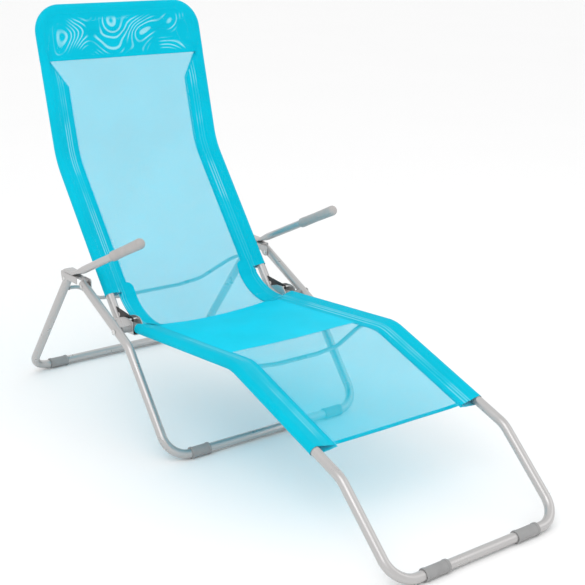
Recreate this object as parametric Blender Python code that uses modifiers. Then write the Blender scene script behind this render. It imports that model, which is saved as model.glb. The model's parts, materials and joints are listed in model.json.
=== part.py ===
"""Folding, rocking sun lounger: four bent tube frames, hinge hardware, arm rests and a mesh sling.

X is the width, the foot end is towards -Y, +Z is up, and the floor is z = 0.
Left and right are the sitter's: left is +X, right is -X.
Side profiles are (y, z) points in metres, all on tube centrelines.
"""
import math

import bmesh
import bpy
from mathutils import Matrix, Vector

# Driving dimensions, metres
TUBE_R = 0.011              # main frame tube, 22 mm
ROD_R = 0.005               # brace and spreader rod, 10 mm
ARM_R = 0.0095              # arm rest tube, 19 mm
GAP = 0.0003                # clearance between touching pieces
SHEET = 0.002               # folded steel sheet
SEAT_X = 0.230              # half width of the seat and back frames
LEG_X = 0.280               # half width of the two leg frames
SOLE = 0.0023               # plastic under the floor bars
FLOOR_Z = TUBE_R + SOLE     # height of the floor bars' centrelines

# Side profiles, (y, z)
SEAT_PIVOT = (0.236, 0.2575)
KNEE = (-0.172, 0.291)
KINK = (-0.538, 0.170)
FOOT_BAR = (-0.709, FLOOR_Z)
BACK_FOOT = (0.315, 0.2528)
BACK_BEND = (0.590, 0.602)
BACK_TOP = (0.692, 0.964)
FRONT_TOP = (0.401, 0.3346)
FRONT_BEND = (0.185, 0.2336)
FRONT_BAR = (0.008, FLOOR_Z)
REAR_PIVOT = (0.474, 0.3305)
REAR_BAR = (0.709, FLOOR_Z)
REAR_OVER = 0.010           # the rear leg runs this far past its pin
FRONT_RIVET = (0.390, 0.3295)
ARM_REAR = (0.474, 0.3518)
ARM_BEND = (0.432, 0.3518)
ARM_TIP = (0.128, 0.4983)

# Bend radii, on the centreline
KNEE_BEND_R = 0.10
KINK_BEND_R = 0.07
BACK_BEND_R = 0.18
TOP_CORNER_R = 0.060
FLOOR_CORNER_R = 0.055
LEG_BEND_R = 0.06
ROD_BEND_R = 0.05
ARC_STEP = math.radians(12)
SLING_STEP = math.radians(6.5)      # finer, so that no crease of the sling lies on a tube's ring

# Hinge between seat and back, measured along (u) and above (w) the seat tube from the seat pivot
SEAT_END_U = 0.0695
CHANNEL_U = (-0.012, 0.066)
CHANNEL_FLAT_U = 0.028
CHANNEL_TOP_W = (0.0235, 0.0140)
HINGE_UW = (0.0150, 0.0175)
CHANNEL_RIVET_U = 0.040
HINGE_BOSS_R = 0.0060
GUSSET_HALF = 0.00125
GUSSET_EDGE = (0.004, 0.033)        # where its edge on the back tube runs, from the tube's end
GUSSET_UNDER_U = (0.030, 0.067)
GUSSET_NOTCH = 0.012                # a round notch in that edge, at this distance from the tube's end
GUSSET_NOTCH_R = 0.0052

# Pins and rivets
PIVOT_R = 0.004
HINGE_PIN_R = 0.00275
RIVET_R = 0.0025
PIN_PLAY = 0.0003
PIN_CUT = 0.05              # length of the holes' cutters
HINGE_HEAD = (0.0052, 0.0016)       # head radius and height
RIVET_HEAD = (0.0046, 0.0016)
PIVOT_HEAD = (0.0075, 0.0026)
SPACER_R = 0.008
PAST = 0.05                 # how far a cutter runs past what it cuts

# Arm bracket
BRACKET_TOP_Z = 0.348
BRACKET_OUTLINE = [(0.381, BRACKET_TOP_Z), (0.486, BRACKET_TOP_Z), (0.489, 0.338), (0.484, 0.3235),
                   (0.474, 0.3195), (0.464, 0.3225), (0.455, 0.331), (0.408, 0.331), (0.400, 0.3225),
                   (0.390, 0.3195), (0.381, 0.323)]
BRACKET_FRONT = 0.409       # in front of this only the inner side runs on, to the front leg's rivet
ARM_FLAT = (0.0145, 0.0035)     # half width and half thickness of the arm tube's flattened end
ARM_FLATNESS = ((0.012, 0.75), (0.024, 0.34), (0.036, 0.08), (0.046, 0.0))     # after the bend
GRIP_R = 0.0128
GRIP_NOSE = 0.011
GRIP_LENGTH = 0.146
GRIP_COVER = 0.134

# Rods: half-span outline, (x, drop) with the drop in the plane the rod is bowed in
BRACE_OUTLINE = [(0.2676, 0.044), (0.236, 0.050), (0.160, 0.118), (0.095, 0.130)]
SPREADER_OUTLINE = [(0.2190, 0.0085), (0.186, 0.0095), (0.120, 0.045), (0.060, 0.052)]
SPREADER_Y = -0.100

# Foot caps, (centre x, half length)
LEG_CAP = (0.199, 0.026)
FOOT_CAP = (0.128, 0.032)
CAP_R = 0.0145

# Sling
SLEEVE_R = 0.0127
SLEEVE_LAP = 0.0015             # the sleeves run this far past the full-width sling
SLING_THICK = 0.003
SLING_HALF = 0.222
BRIDGE_HALF = 0.200
ROD_NOTCH = 0.0015              # the seat's sleeves are notched this far round the spreader
SEAT_SLEEVE_U = -0.0135
SEAT_BRIDGE_U = 0.024
LEG_SLEEVE_S = 0.298            # along the leg rest, from the knee
BACK_SLEEVE_Z = 0.306
BACK_BRIDGE_Z = 0.2835

SIDES = {"left": 1, "right": -1}


# Scene, materials and collections

def clear_scene():
    for obj in list(bpy.data.objects):
        bpy.data.objects.remove(obj, do_unlink=True)


def new_collection(name):
    collection = bpy.data.collections.new(name)
    bpy.context.scene.collection.children.link(collection)
    return collection


def new_material(name, colour, roughness, metallic):
    material = bpy.data.materials.new(name)
    material.use_nodes = True
    shader = material.node_tree.nodes["Principled BSDF"]
    shader.inputs["Base Color"].default_value = (*colour, 1.0)
    shader.inputs["Roughness"].default_value = roughness
    shader.inputs["Metallic"].default_value = metallic
    return material


def new_empty(name, location, parent=None):
    empty = bpy.data.objects.new(name, None)
    empty.empty_display_size = 0.03
    empty.location = location
    PARTS.objects.link(empty)
    attach(empty, parent)
    return empty


def attach(obj, parent):
    """Parent obj without moving it: the parents are unturned and unscaled empties."""
    if parent is None:
        return
    place = Vector()
    step = parent
    while step is not None:
        place += step.location
        step = step.parent
    obj.parent = parent
    obj.location -= place


# Paths

def side_point(x, profile):
    return Vector((x, profile[0], profile[1]))


def along_seat(u, w):
    """A (y, z) point at u behind and w above the seat pivot, along the seat tube."""
    return (SEAT_PIVOT[0] + u * SEAT_DIR[0] - w * SEAT_DIR[1],
            SEAT_PIVOT[1] + u * SEAT_DIR[1] + w * SEAT_DIR[0])


def on_line(start, end, distance):
    """The (y, z) point at a distance from start towards end."""
    run = Vector(end) - Vector(start)
    return tuple(Vector(start) + run.normalized() * distance)


def at_height(start, end, z):
    """The (y, z) point at height z on the line through start and end."""
    return (start[0] + (end[0] - start[0]) * (z - start[1]) / (end[1] - start[1]), z)


def fillet_path(corners, radii, arc_step=ARC_STEP):
    """A polyline through corners, with an arc of the given radius at each inner one."""
    path = [Vector(corners[0])]
    for before, corner, after, radius in zip(corners, corners[1:], corners[2:], radii):
        into = (Vector(before) - Vector(corner)).normalized()
        out = (Vector(after) - Vector(corner)).normalized()
        half = into.angle(out) / 2
        centre = Vector(corner) + (into + out).normalized() * (radius / math.sin(half))
        first = Vector(corner) + into * (radius / math.tan(half)) - centre
        last = Vector(corner) + out * (radius / math.tan(half)) - centre
        turn = math.pi - 2 * half
        steps = max(2, math.ceil(turn / arc_step))
        for i in range(steps + 1):
            share = i / steps
            blend = first * math.sin((1 - share) * turn) + last * math.sin(share * turn)
            path.append(centre + blend / math.sin(turn))
    path.append(Vector(corners[-1]))
    return path


def frame_path(profile, half_width, bend_radii, corner_radius):
    """A U frame: down the right side, across at the profile's last point, up the left side."""
    down = [side_point(-half_width, p) for p in profile]
    up = [side_point(half_width, p) for p in reversed(profile)]
    radii = bend_radii + [corner_radius, corner_radius] + bend_radii[::-1]
    return fillet_path(down + up, radii)


# Shapes

def add_object(name, mesh, collection, material=None, parent=None):
    obj = bpy.data.objects.new(name, mesh)
    collection.objects.link(obj)
    if material is not None:
        mesh.materials.append(material)
    if collection is CUTTERS:
        obj.hide_render = True
        obj.display_type = "WIRE"
    attach(obj, parent)
    return obj


def smooth(mesh, angle=35):
    mesh.shade_smooth()
    mesh.set_sharp_from_angle(angle=math.radians(angle))


def curve_mesh(curve, matrix):
    """The curve's surface as one welded mesh, placed by matrix."""
    source = bpy.data.objects.new("curve_source", curve)
    bpy.context.scene.collection.objects.link(source)
    depsgraph = bpy.context.evaluated_depsgraph_get()
    mesh = bpy.data.meshes.new_from_object(source.evaluated_get(depsgraph))
    bpy.data.objects.remove(source)
    shape = bmesh.new()
    shape.from_mesh(mesh)
    bmesh.ops.remove_doubles(shape, verts=shape.verts, dist=0.00002)
    bmesh.ops.recalc_face_normals(shape, faces=shape.faces)
    bmesh.ops.transform(shape, matrix=matrix, verts=shape.verts)
    shape.to_mesh(mesh)
    shape.free()
    smooth(mesh)
    return mesh


def tube_mesh(path, radius, resolution=5):
    """A round bar along path, with 4 + 2 * resolution sides."""
    curve = bpy.data.curves.new("tube", "CURVE")
    curve.dimensions = "3D"
    curve.bevel_depth = radius
    curve.bevel_resolution = resolution
    curve.use_fill_caps = True
    spline = curve.splines.new("POLY")
    spline.points.add(len(path) - 1)
    for point, place in zip(spline.points, path):
        point.co = (*place, 1.0)
    return curve_mesh(curve, Matrix())


def slab_mesh(outlines, x, half_thickness):
    """A flat (y, z) outline, with any further outlines as holes, as thick as x +- half_thickness."""
    curve = bpy.data.curves.new("slab", "CURVE")
    curve.dimensions = "2D"
    curve.fill_mode = "BOTH"
    curve.extrude = half_thickness
    for outline in outlines:
        spline = curve.splines.new("POLY")
        spline.points.add(len(outline) - 1)
        spline.use_cyclic_u = True
        for point, place in zip(spline.points, outline):
            point.co = (place[0], place[1], 0.0, 1.0)
    to_world = Matrix(((0, 0, 1, x), (1, 0, 0, 0), (0, 1, 0, 0), (0, 0, 0, 1)))
    return curve_mesh(curve, to_world)


def circle(centre, radius, count=16, start=0.0, turn=2 * math.pi):
    """Points on an arc; a full turn doesn't repeat its first point."""
    last = count if turn >= 2 * math.pi else count - 1
    angles = [start + turn * i / last for i in range(count)]
    return [(centre[0] + radius * math.cos(a), centre[1] + radius * math.sin(a)) for a in angles]


def turned(name, profile, place, direction, material, parent, closed=False, steps=12):
    """A profile of (radius, height) points, top to bottom, turned about direction at place."""
    mesh = bpy.data.meshes.new(name)
    verts = [(radius, 0.0, height) for radius, height in profile]
    edges = [(i, i + 1) for i in range(len(verts) - 1)]
    if closed:
        edges.append((len(verts) - 1, 0))
    mesh.from_pydata(verts, edges, [])
    obj = add_object(name, mesh, PARTS, material)
    obj.location = place
    obj.rotation_euler = direction.to_track_quat("Z", "Y").to_euler()
    screw = obj.modifiers.new("turn", "SCREW")
    screw.steps = steps
    screw.render_steps = steps
    screw.use_merge_vertices = True
    screw.merge_threshold = 0.00005
    screw.use_smooth_shade = True
    attach(obj, parent)
    return obj


def pin_cutter(name, place, radius, span):
    """A cutter along X for a pin of this radius, with running play."""
    shape = bmesh.new()
    bmesh.ops.create_cone(shape, cap_ends=True, segments=16, radius1=radius + PIN_PLAY,
                          radius2=radius + PIN_PLAY, depth=span)
    bmesh.ops.rotate(shape, verts=shape.verts, matrix=Matrix.Rotation(math.pi / 2, 3, "Y"))
    bmesh.ops.translate(shape, verts=shape.verts, vec=place)
    mesh = bpy.data.meshes.new(name)
    shape.to_mesh(mesh)
    shape.free()
    return add_object(name, mesh, CUTTERS)


def boolean(obj, other, operation="DIFFERENCE"):
    modifier = obj.modifiers.new(operation.lower(), "BOOLEAN")
    modifier.operation = operation
    modifier.object = other


def rivet_profile(shaft_r, half_length, head_r, head_height):
    """A round-headed rivet, symmetric about its middle."""
    dome = [(head_r * math.sin(a), half_length + head_height * math.cos(a))
            for a in (0.0, 0.9, math.pi / 2)]
    upper = dome + [(shaft_r, half_length)]
    lower = [(radius, -height) for radius, height in reversed(upper)]
    return upper + lower


# The frames

def build_frames():
    front = [FRONT_TOP, FRONT_BEND, FRONT_BAR]
    front_path = frame_path(front, LEG_X, [LEG_BEND_R], FLOOR_CORNER_R)
    front_frame = add_object("front_leg_frame", tube_mesh(front_path, TUBE_R), PARTS, STEEL)

    rear_end = on_line(REAR_PIVOT, REAR_BAR, -REAR_OVER)
    rear_path = frame_path([rear_end, REAR_BAR], LEG_X, [], FLOOR_CORNER_R)
    rear_frame = add_object("rear_leg_frame", tube_mesh(rear_path, TUBE_R), PARTS, STEEL, REAR_EMPTY)

    seat = [along_seat(SEAT_END_U, 0.0), KNEE, KINK, FOOT_BAR]
    seat_path = frame_path(seat, SEAT_X, [KNEE_BEND_R, KINK_BEND_R], FLOOR_CORNER_R)
    seat_frame = add_object("seat_frame", tube_mesh(seat_path, TUBE_R), PARTS, STEEL, SEAT_EMPTY)

    add_object("back_frame", tube_mesh(back_frame_path(), TUBE_R), PARTS, STEEL, BACK_EMPTY)

    for side, sign in SIDES.items():
        leg_holes = {"front_rivet_hole": (front_frame, FRONT_RIVET, RIVET_R),
                     "pivot_hole": (front_frame, SEAT_PIVOT, PIVOT_R),
                     "rear_pin_hole": (rear_frame, REAR_PIVOT, RIVET_R)}
        for name, (frame, place, radius) in leg_holes.items():
            cutter = pin_cutter(f"{name}_{side}", side_point(sign * LEG_X, place), radius, PIN_CUT)
            boolean(frame, cutter)
        seat_holes = (("seat_pivot_hole", 0.0, PIVOT_R), ("channel_rivet_hole", CHANNEL_RIVET_U, RIVET_R))
        for name, u, radius in seat_holes:
            place = side_point(sign * SEAT_X, along_seat(u, 0.0))
            boolean(seat_frame, pin_cutter(f"{name}_{side}", place, radius, PIN_CUT))


def back_frame_path():
    return frame_path([BACK_FOOT, BACK_BEND, BACK_TOP], SEAT_X, [BACK_BEND_R], TOP_CORNER_R)


def rod_path(half):
    """A rod's centreline from the points of its left half, bent at each."""
    corners = half + [Vector((-p.x, p.y, p.z)) for p in reversed(half)]
    return fillet_path(corners, [ROD_BEND_R] * (len(corners) - 2))


def spreader_path():
    """In an upright plane, welded to the seat tubes' inner sides and bowed down between them."""
    seat_z = seat_height(SPREADER_Y)
    return rod_path([side_point(x, (SPREADER_Y, seat_z - drop)) for x, drop in SPREADER_OUTLINE])


def build_rods():
    """The brace lies in the plane of the rear legs."""
    brace = [side_point(x, on_line(REAR_PIVOT, REAR_BAR, drop)) for x, drop in BRACE_OUTLINE]
    add_object("back_brace", tube_mesh(rod_path(brace), ROD_R, 4), PARTS, STEEL, REAR_EMPTY)
    add_object("seat_spreader", tube_mesh(spreader_path(), ROD_R, 4), PARTS, STEEL, SEAT_EMPTY)


def seat_height(y):
    """Height of the seat tube's centreline at y."""
    return SEAT_PIVOT[1] + (y - SEAT_PIVOT[0]) * SEAT_DIR[1] / SEAT_DIR[0]


# Hinge hardware

def channel_outline():
    low = -TUBE_R - GAP - SHEET
    front, rear = CHANNEL_U
    corners = [(front, low), (rear, low), (rear, CHANNEL_TOP_W[1]),
               (CHANNEL_FLAT_U, CHANNEL_TOP_W[0]), (front, CHANNEL_TOP_W[0])]
    return [along_seat(u, w) for u, w in corners]


def channel_inside():
    """What is taken out of the channel's block: the tube's space, open at the top and both ends."""
    floor_w = -TUBE_R - GAP
    ends = (CHANNEL_U[0] - PAST, CHANNEL_U[1] + PAST)
    corners = [(ends[0], floor_w), (ends[1], floor_w), (ends[1], PAST), (ends[0], PAST)]
    return [along_seat(u, w) for u, w in corners]


def gusset_outline():
    """A web in the crotch of the hinge: a boss round the pin, and a long edge on the back tube."""
    forward = (-BACK_DIR[1], BACK_DIR[0])
    offset = TUBE_R + GAP
    foot = (BACK_FOOT[0] + forward[0] * offset, BACK_FOOT[1] + forward[1] * offset)
    upward = (foot[0] + BACK_DIR[0], foot[1] + BACK_DIR[1])
    edge = [on_line(foot, upward, distance) for distance in GUSSET_EDGE]
    notch = circle(on_line(foot, upward, GUSSET_NOTCH), GUSSET_NOTCH_R, 13,
                   math.atan2(-BACK_DIR[1], -BACK_DIR[0]), -math.pi)
    boss = circle(HINGE, HINGE_BOSS_R, 9, math.radians(100), math.radians(165))
    under = [along_seat(GUSSET_UNDER_U[0], TUBE_R + 2 * GAP), along_seat(GUSSET_UNDER_U[1], TUBE_R + 3 * GAP)]
    return boss + under + edge[:1] + notch + edge[1:]


def build_hinges():
    for side, sign in SIDES.items():
        x = sign * SEAT_X
        outer = TUBE_R + GAP + SHEET
        channel_mesh = slab_mesh([channel_outline()], x, outer)
        channel = add_object(f"hinge_channel_{side}", channel_mesh, PARTS, STEEL, SEAT_EMPTY)
        inside_mesh = slab_mesh([channel_inside()], x, TUBE_R + GAP)
        boolean(channel, add_object(f"channel_inside_{side}", inside_mesh, CUTTERS))
        holes = (("channel_pivot", SEAT_PIVOT, PIVOT_R), ("channel_hinge", HINGE, HINGE_PIN_R),
                 ("channel_rivet", along_seat(CHANNEL_RIVET_U, 0.0), RIVET_R))
        for name, place, radius in holes:
            boolean(channel, pin_cutter(f"{name}_cut_{side}", side_point(x, place), radius, PIN_CUT))

        outlines = [gusset_outline(), circle(HINGE, HINGE_PIN_R + PIN_PLAY)]
        add_object(f"hinge_gusset_{side}", slab_mesh(outlines, x, GUSSET_HALF), PARTS, DARK, BACK_EMPTY)

        half = outer + GAP
        axis = Vector((sign, 0, 0))
        turned(f"hinge_pin_{side}", rivet_profile(HINGE_PIN_R, half, *HINGE_HEAD),
               side_point(x, HINGE), axis, BRIGHT, SEAT_EMPTY)
        turned(f"channel_rivet_{side}", rivet_profile(RIVET_R, half, *RIVET_HEAD),
               side_point(x, along_seat(CHANNEL_RIVET_U, 0.0)), axis, BRIGHT, SEAT_EMPTY)


def build_seat_pivots():
    """A long rivet from the leg's outer face to the channel's inner face, and the spacer on it."""
    outer = LEG_X + TUBE_R + GAP
    inner = SEAT_X - TUBE_R - 2 * GAP - SHEET
    spacer_ends = (LEG_X - TUBE_R - GAP, SEAT_X + TUBE_R + 2 * GAP + SHEET)
    middle = (spacer_ends[0] + spacer_ends[1]) / 2
    reach = (spacer_ends[0] - spacer_ends[1]) / 2
    bore = PIVOT_R + PIN_PLAY
    ring = [(SPACER_R, reach), (SPACER_R, -reach), (bore, -reach), (bore, reach)]
    for side, sign in SIDES.items():
        axis = Vector((sign, 0, 0))
        turned(f"seat_pivot_{side}", rivet_profile(PIVOT_R, (outer - inner) / 2, *PIVOT_HEAD),
               side_point(sign * (outer + inner) / 2, SEAT_PIVOT), axis, BRIGHT, None)
        turned(f"pivot_spacer_{side}", ring, side_point(sign * middle, SEAT_PIVOT), axis, PLASTIC, None,
               closed=True)


# Arm rests

def build_arm_brackets():
    for side, sign in SIDES.items():
        x = sign * LEG_X
        outer = TUBE_R + GAP + SHEET
        bracket_mesh = slab_mesh([BRACKET_OUTLINE], x, outer)
        bracket = add_object(f"arm_bracket_{side}", bracket_mesh, PARTS, STEEL)
        inside_mesh = slab_mesh([bracket_inside()], x, TUBE_R + GAP)
        boolean(bracket, add_object(f"bracket_inside_{side}", inside_mesh, CUTTERS))
        front_x = sign * (LEG_X - TUBE_R - GAP + PAST)
        front_mesh = slab_mesh([bracket_front()], front_x, PAST)
        boolean(bracket, add_object(f"bracket_front_{side}", front_mesh, CUTTERS))
        for name, place in (("bracket_rivet", FRONT_RIVET), ("bracket_pin", REAR_PIVOT)):
            boolean(bracket, pin_cutter(f"{name}_cut_{side}", side_point(x, place), RIVET_R, PIN_CUT))
        axis = Vector((sign, 0, 0))
        short = (outer + GAP + TUBE_R + GAP) / 2
        short_x = sign * (LEG_X - (outer - TUBE_R) / 2)
        turned(f"bracket_rivet_{side}", rivet_profile(RIVET_R, short, *RIVET_HEAD),
               side_point(short_x, FRONT_RIVET), axis, BRIGHT, None)
        turned(f"rear_leg_pin_{side}", rivet_profile(RIVET_R, outer + GAP, *RIVET_HEAD),
               side_point(x, REAR_PIVOT), axis, BRIGHT, None)


def bracket_inside():
    """What is taken out of the bracket's block: all under its top, open at both ends."""
    front = min(y for y, z in BRACKET_OUTLINE) - PAST
    rear = max(y for y, z in BRACKET_OUTLINE) + PAST
    low = min(z for y, z in BRACKET_OUTLINE) - PAST
    top = BRACKET_TOP_Z - SHEET
    return [(front, low), (rear, low), (rear, top), (front, top)]


def bracket_front():
    """What is taken off the bracket's front, beside its inner side: the front leg stands clear there."""
    low, high = BRACKET_TOP_Z - PAST, BRACKET_TOP_Z + PAST
    front = BRACKET_FRONT - 2 * PAST
    return [(front, low), (BRACKET_FRONT, low), (BRACKET_FRONT, high), (front, high)]


def arm_ring(x, centre, direction, flatness):
    """A section across the arm tube: round at flatness 0, pressed flat at flatness 1."""
    half_width = ARM_R + (ARM_FLAT[0] - ARM_R) * flatness
    half_height = ARM_R + (ARM_FLAT[1] - ARM_R) * flatness
    power = 1.0 - 0.5 * flatness
    points = []
    for i in range(16):
        angle = 2 * math.pi * i / 16
        across, up = math.cos(angle), math.sin(angle)
        across = math.copysign(abs(across) ** power, across) * half_width
        up = math.copysign(abs(up) ** power, up) * half_height
        points.append((x + across, centre[0] - up * direction[1], centre[1] + up * direction[0]))
    return points


def loft_mesh(name, rings):
    """A solid through rings of the same number of points, closed at both ends."""
    count = len(rings[0])
    verts = [point for ring in rings for point in ring]
    faces = [list(range(count))[::-1], [len(verts) - count + i for i in range(count)]]
    for start in range(0, len(verts) - count, count):
        for i in range(count):
            j = (i + 1) % count
            faces.append([start + i, start + j, start + count + j, start + count + i])
    mesh = bpy.data.meshes.new(name)
    mesh.from_pydata(verts, [], faces)
    shape = bmesh.new()
    shape.from_mesh(mesh)
    bmesh.ops.recalc_face_normals(shape, faces=shape.faces)
    shape.to_mesh(mesh)
    shape.free()
    smooth(mesh)
    return mesh


def build_arm_rests():
    """The tube lies flat on its bracket, bends up and runs forward into its grip."""
    slope = (Vector(ARM_TIP) - Vector(ARM_BEND)).normalized()
    level = Vector((-1.0, 0.0))
    bend = (slope + level).normalized()
    stations = [(ARM_REAR, level, 1.0), (ARM_BEND, bend, 1.0)]
    for distance, flatness in ARM_FLATNESS:
        stations.append((on_line(ARM_BEND, ARM_TIP, distance), slope, flatness))
    stations.append((ARM_TIP, slope, 0.0))
    for side, sign in SIDES.items():
        x = sign * LEG_X
        rings = [arm_ring(x, centre, direction, flatness) for centre, direction, flatness in stations]
        add_object(f"arm_tube_{side}", loft_mesh("arm_tube", rings), PARTS, STEEL)
        start = side_point(x, ARM_TIP) - Vector((0, *slope)) * GRIP_COVER
        turned(f"arm_grip_{side}", grip_profile(), start, Vector((0, *slope)), GRIP, None,
               closed=True, steps=24)


def grip_profile():
    """A sleeve closed at its far end, as (radius, distance from its open end)."""
    bore = ARM_R + GAP
    nose = [(GRIP_R * math.sin(a), GRIP_LENGTH - GRIP_NOSE + GRIP_NOSE * math.cos(a))
            for a in (0.0, 0.5, 1.0, math.pi / 2)]
    body = [(GRIP_R - 0.0008, GRIP_LENGTH * 0.5), (GRIP_R, 0.004), (GRIP_R - 0.001, 0.0)]
    inner = [(bore, 0.0), (bore, GRIP_COVER + GAP), (0.0, GRIP_COVER + GAP)]
    return nose + body + inner


# Foot caps

def build_foot_caps():
    """Sleeves on the floor bars, each with a flat sole on the floor."""
    bars = {"front_leg_cap": (FRONT_BAR, LEG_CAP, None), "rear_leg_cap": (REAR_BAR, LEG_CAP, REAR_EMPTY),
            "foot_bar_cap": (FOOT_BAR, FOOT_CAP, SEAT_EMPTY)}
    sole = math.asin(FLOOR_Z / CAP_R)
    for name, (centre, (x, half_length), parent) in bars.items():
        outer = circle(centre, CAP_R, 15, -sole, math.pi + 2 * sole)
        bore = circle(centre, TUBE_R + GAP, 16)
        for side, sign in SIDES.items():
            add_object(f"{name}_{side}", slab_mesh([outer, bore], sign * x, half_length),
                       PARTS, PLASTIC, parent)


# Sling

def strip(name, stations, parent):
    """A level-sided strip of sling: a (y, z, half width) at each station, thickened."""
    verts = [(sign * half, y, z) for y, z, half in stations for sign in (-1, 1)]
    faces = [(2 * i, 2 * i + 1, 2 * i + 3, 2 * i + 2) for i in range(len(stations) - 1)]
    mesh = bpy.data.meshes.new(name)
    mesh.from_pydata(verts, [], faces)
    obj = add_object(name, mesh, PARTS, FABRIC, parent)
    shell = obj.modifiers.new("thickness", "SOLIDIFY")
    shell.thickness = SLING_THICK
    shell.offset = 0.0
    return obj


def profile_between(corners, radii):
    """Side profile points with their bends, as (y, z) pairs."""
    path = fillet_path([side_point(0.0, c) for c in corners], radii, SLING_STEP)
    return [(p.y, p.z) for p in path]


def add_sleeve(sling, name, sleeve_path, bore_path):
    """Join a sleeve to the sling, then clear the tube that runs through it."""
    sleeve = add_object(f"{name}_sleeve", tube_mesh(sleeve_path, SLEEVE_R), CUTTERS)
    bore = add_object(f"{name}_bore", tube_mesh(bore_path, TUBE_R + GAP), CUTTERS)
    boolean(sling, sleeve, "UNION")
    boolean(sling, bore)


def build_back_sling():
    low = at_height(BACK_FOOT, BACK_BEND, BACK_BRIDGE_Z)
    sleeve = at_height(BACK_FOOT, BACK_BEND, BACK_SLEEVE_Z)
    top_start = on_line(BACK_TOP, BACK_BEND, TOP_CORNER_R)
    profile = profile_between([sleeve, BACK_BEND, top_start], [BACK_BEND_R])
    stations = [(*low, BRIDGE_HALF), (*sleeve, BRIDGE_HALF)]
    stations += [(y, z, SLING_HALF) for y, z in [on_line(sleeve, BACK_BEND, SLEEVE_LAP)] + profile[1:]]
    inner = SEAT_X - TOP_CORNER_R
    edge = SEAT_X - SLING_HALF
    for angle in (math.radians(a) for a in (20, 40, 60, 75)):
        place = on_line(BACK_TOP, BACK_BEND, TOP_CORNER_R * (1 - math.sin(angle)))
        stations.append((*place, inner + TOP_CORNER_R * math.cos(angle) - edge))
    sling = strip("back_sling", stations, BACK_EMPTY)
    path = frame_path([sleeve, BACK_BEND, BACK_TOP], SEAT_X, [BACK_BEND_R], TOP_CORNER_R)
    add_sleeve(sling, "back", path, back_frame_path())


def build_seat_sling():
    rear = along_seat(SEAT_BRIDGE_U, 0.0)
    sleeve = along_seat(SEAT_SLEEVE_U, 0.0)
    hem = on_line(KNEE, KINK, LEG_SLEEVE_S)
    wide = along_seat(SEAT_SLEEVE_U - SLEEVE_LAP, 0.0)
    profile = profile_between([wide, KNEE, on_line(hem, KNEE, SLEEVE_LAP)], [KNEE_BEND_R])
    stations = [(*rear, BRIDGE_HALF), (*sleeve, BRIDGE_HALF)]
    stations += [(y, z, SLING_HALF) for y, z in profile]
    sling = strip("seat_sling", stations, SEAT_EMPTY)
    for side, sign in SIDES.items():
        x = sign * SEAT_X
        bore, cover = [fillet_path([side_point(x, p) for p in corners], [KNEE_BEND_R])
                       for corners in ((along_seat(PAST, 0.0), KNEE, KINK), (sleeve, KNEE, hem))]
        add_sleeve(sling, f"seat_{side}", cover, bore)
    notches = tube_mesh(spreader_path(), ROD_R + ROD_NOTCH, 4)
    boolean(sling, add_object("spreader_notches", notches, CUTTERS))


def build_all():
    build_frames()
    build_rods()
    build_hinges()
    build_seat_pivots()
    build_arm_brackets()
    build_arm_rests()
    build_foot_caps()
    build_back_sling()
    build_seat_sling()


clear_scene()
PARTS = new_collection("beach_chair")
CUTTERS = new_collection("cutters")

STEEL = new_material("silver_steel", (0.56, 0.56, 0.55), 0.42, 0.35)
BRIGHT = new_material("bright_rivet", (0.72, 0.72, 0.72), 0.28, 0.9)
DARK = new_material("dark_plate", (0.03, 0.03, 0.03), 0.45, 0.0)
PLASTIC = new_material("grey_plastic", (0.25, 0.25, 0.26), 0.5, 0.0)
GRIP = new_material("grip_plastic", (0.44, 0.42, 0.42), 0.45, 0.0)
FABRIC = new_material("cyan_mesh", (0.0, 0.60, 0.80), 0.7, 0.0)

SEAT_RUN = Vector(SEAT_PIVOT) - Vector(KNEE)
SEAT_DIR = tuple(SEAT_RUN.normalized())
BACK_DIR = tuple((Vector(BACK_BEND) - Vector(BACK_FOOT)).normalized())
HINGE = along_seat(*HINGE_UW)

REAR_EMPTY = new_empty("rear_leg_axis", side_point(0.0, REAR_PIVOT))
SEAT_EMPTY = new_empty("seat_axis", side_point(0.0, SEAT_PIVOT))
BACK_EMPTY = new_empty("back_axis", side_point(0.0, HINGE), SEAT_EMPTY)

build_all()
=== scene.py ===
"""Looks of the folding, rocking sun lounger: tube frames, hinge hardware, arm rests and mesh sling.

Run it as a script in Blender. It is laid out as an add-on: each operator makes one group of pieces
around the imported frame. Metres, +Z up, the foot end towards -Y, left and right are the sitter's.
"""
import json
import math

import bmesh
import bpy
from mathutils import Matrix, Vector, noise


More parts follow.
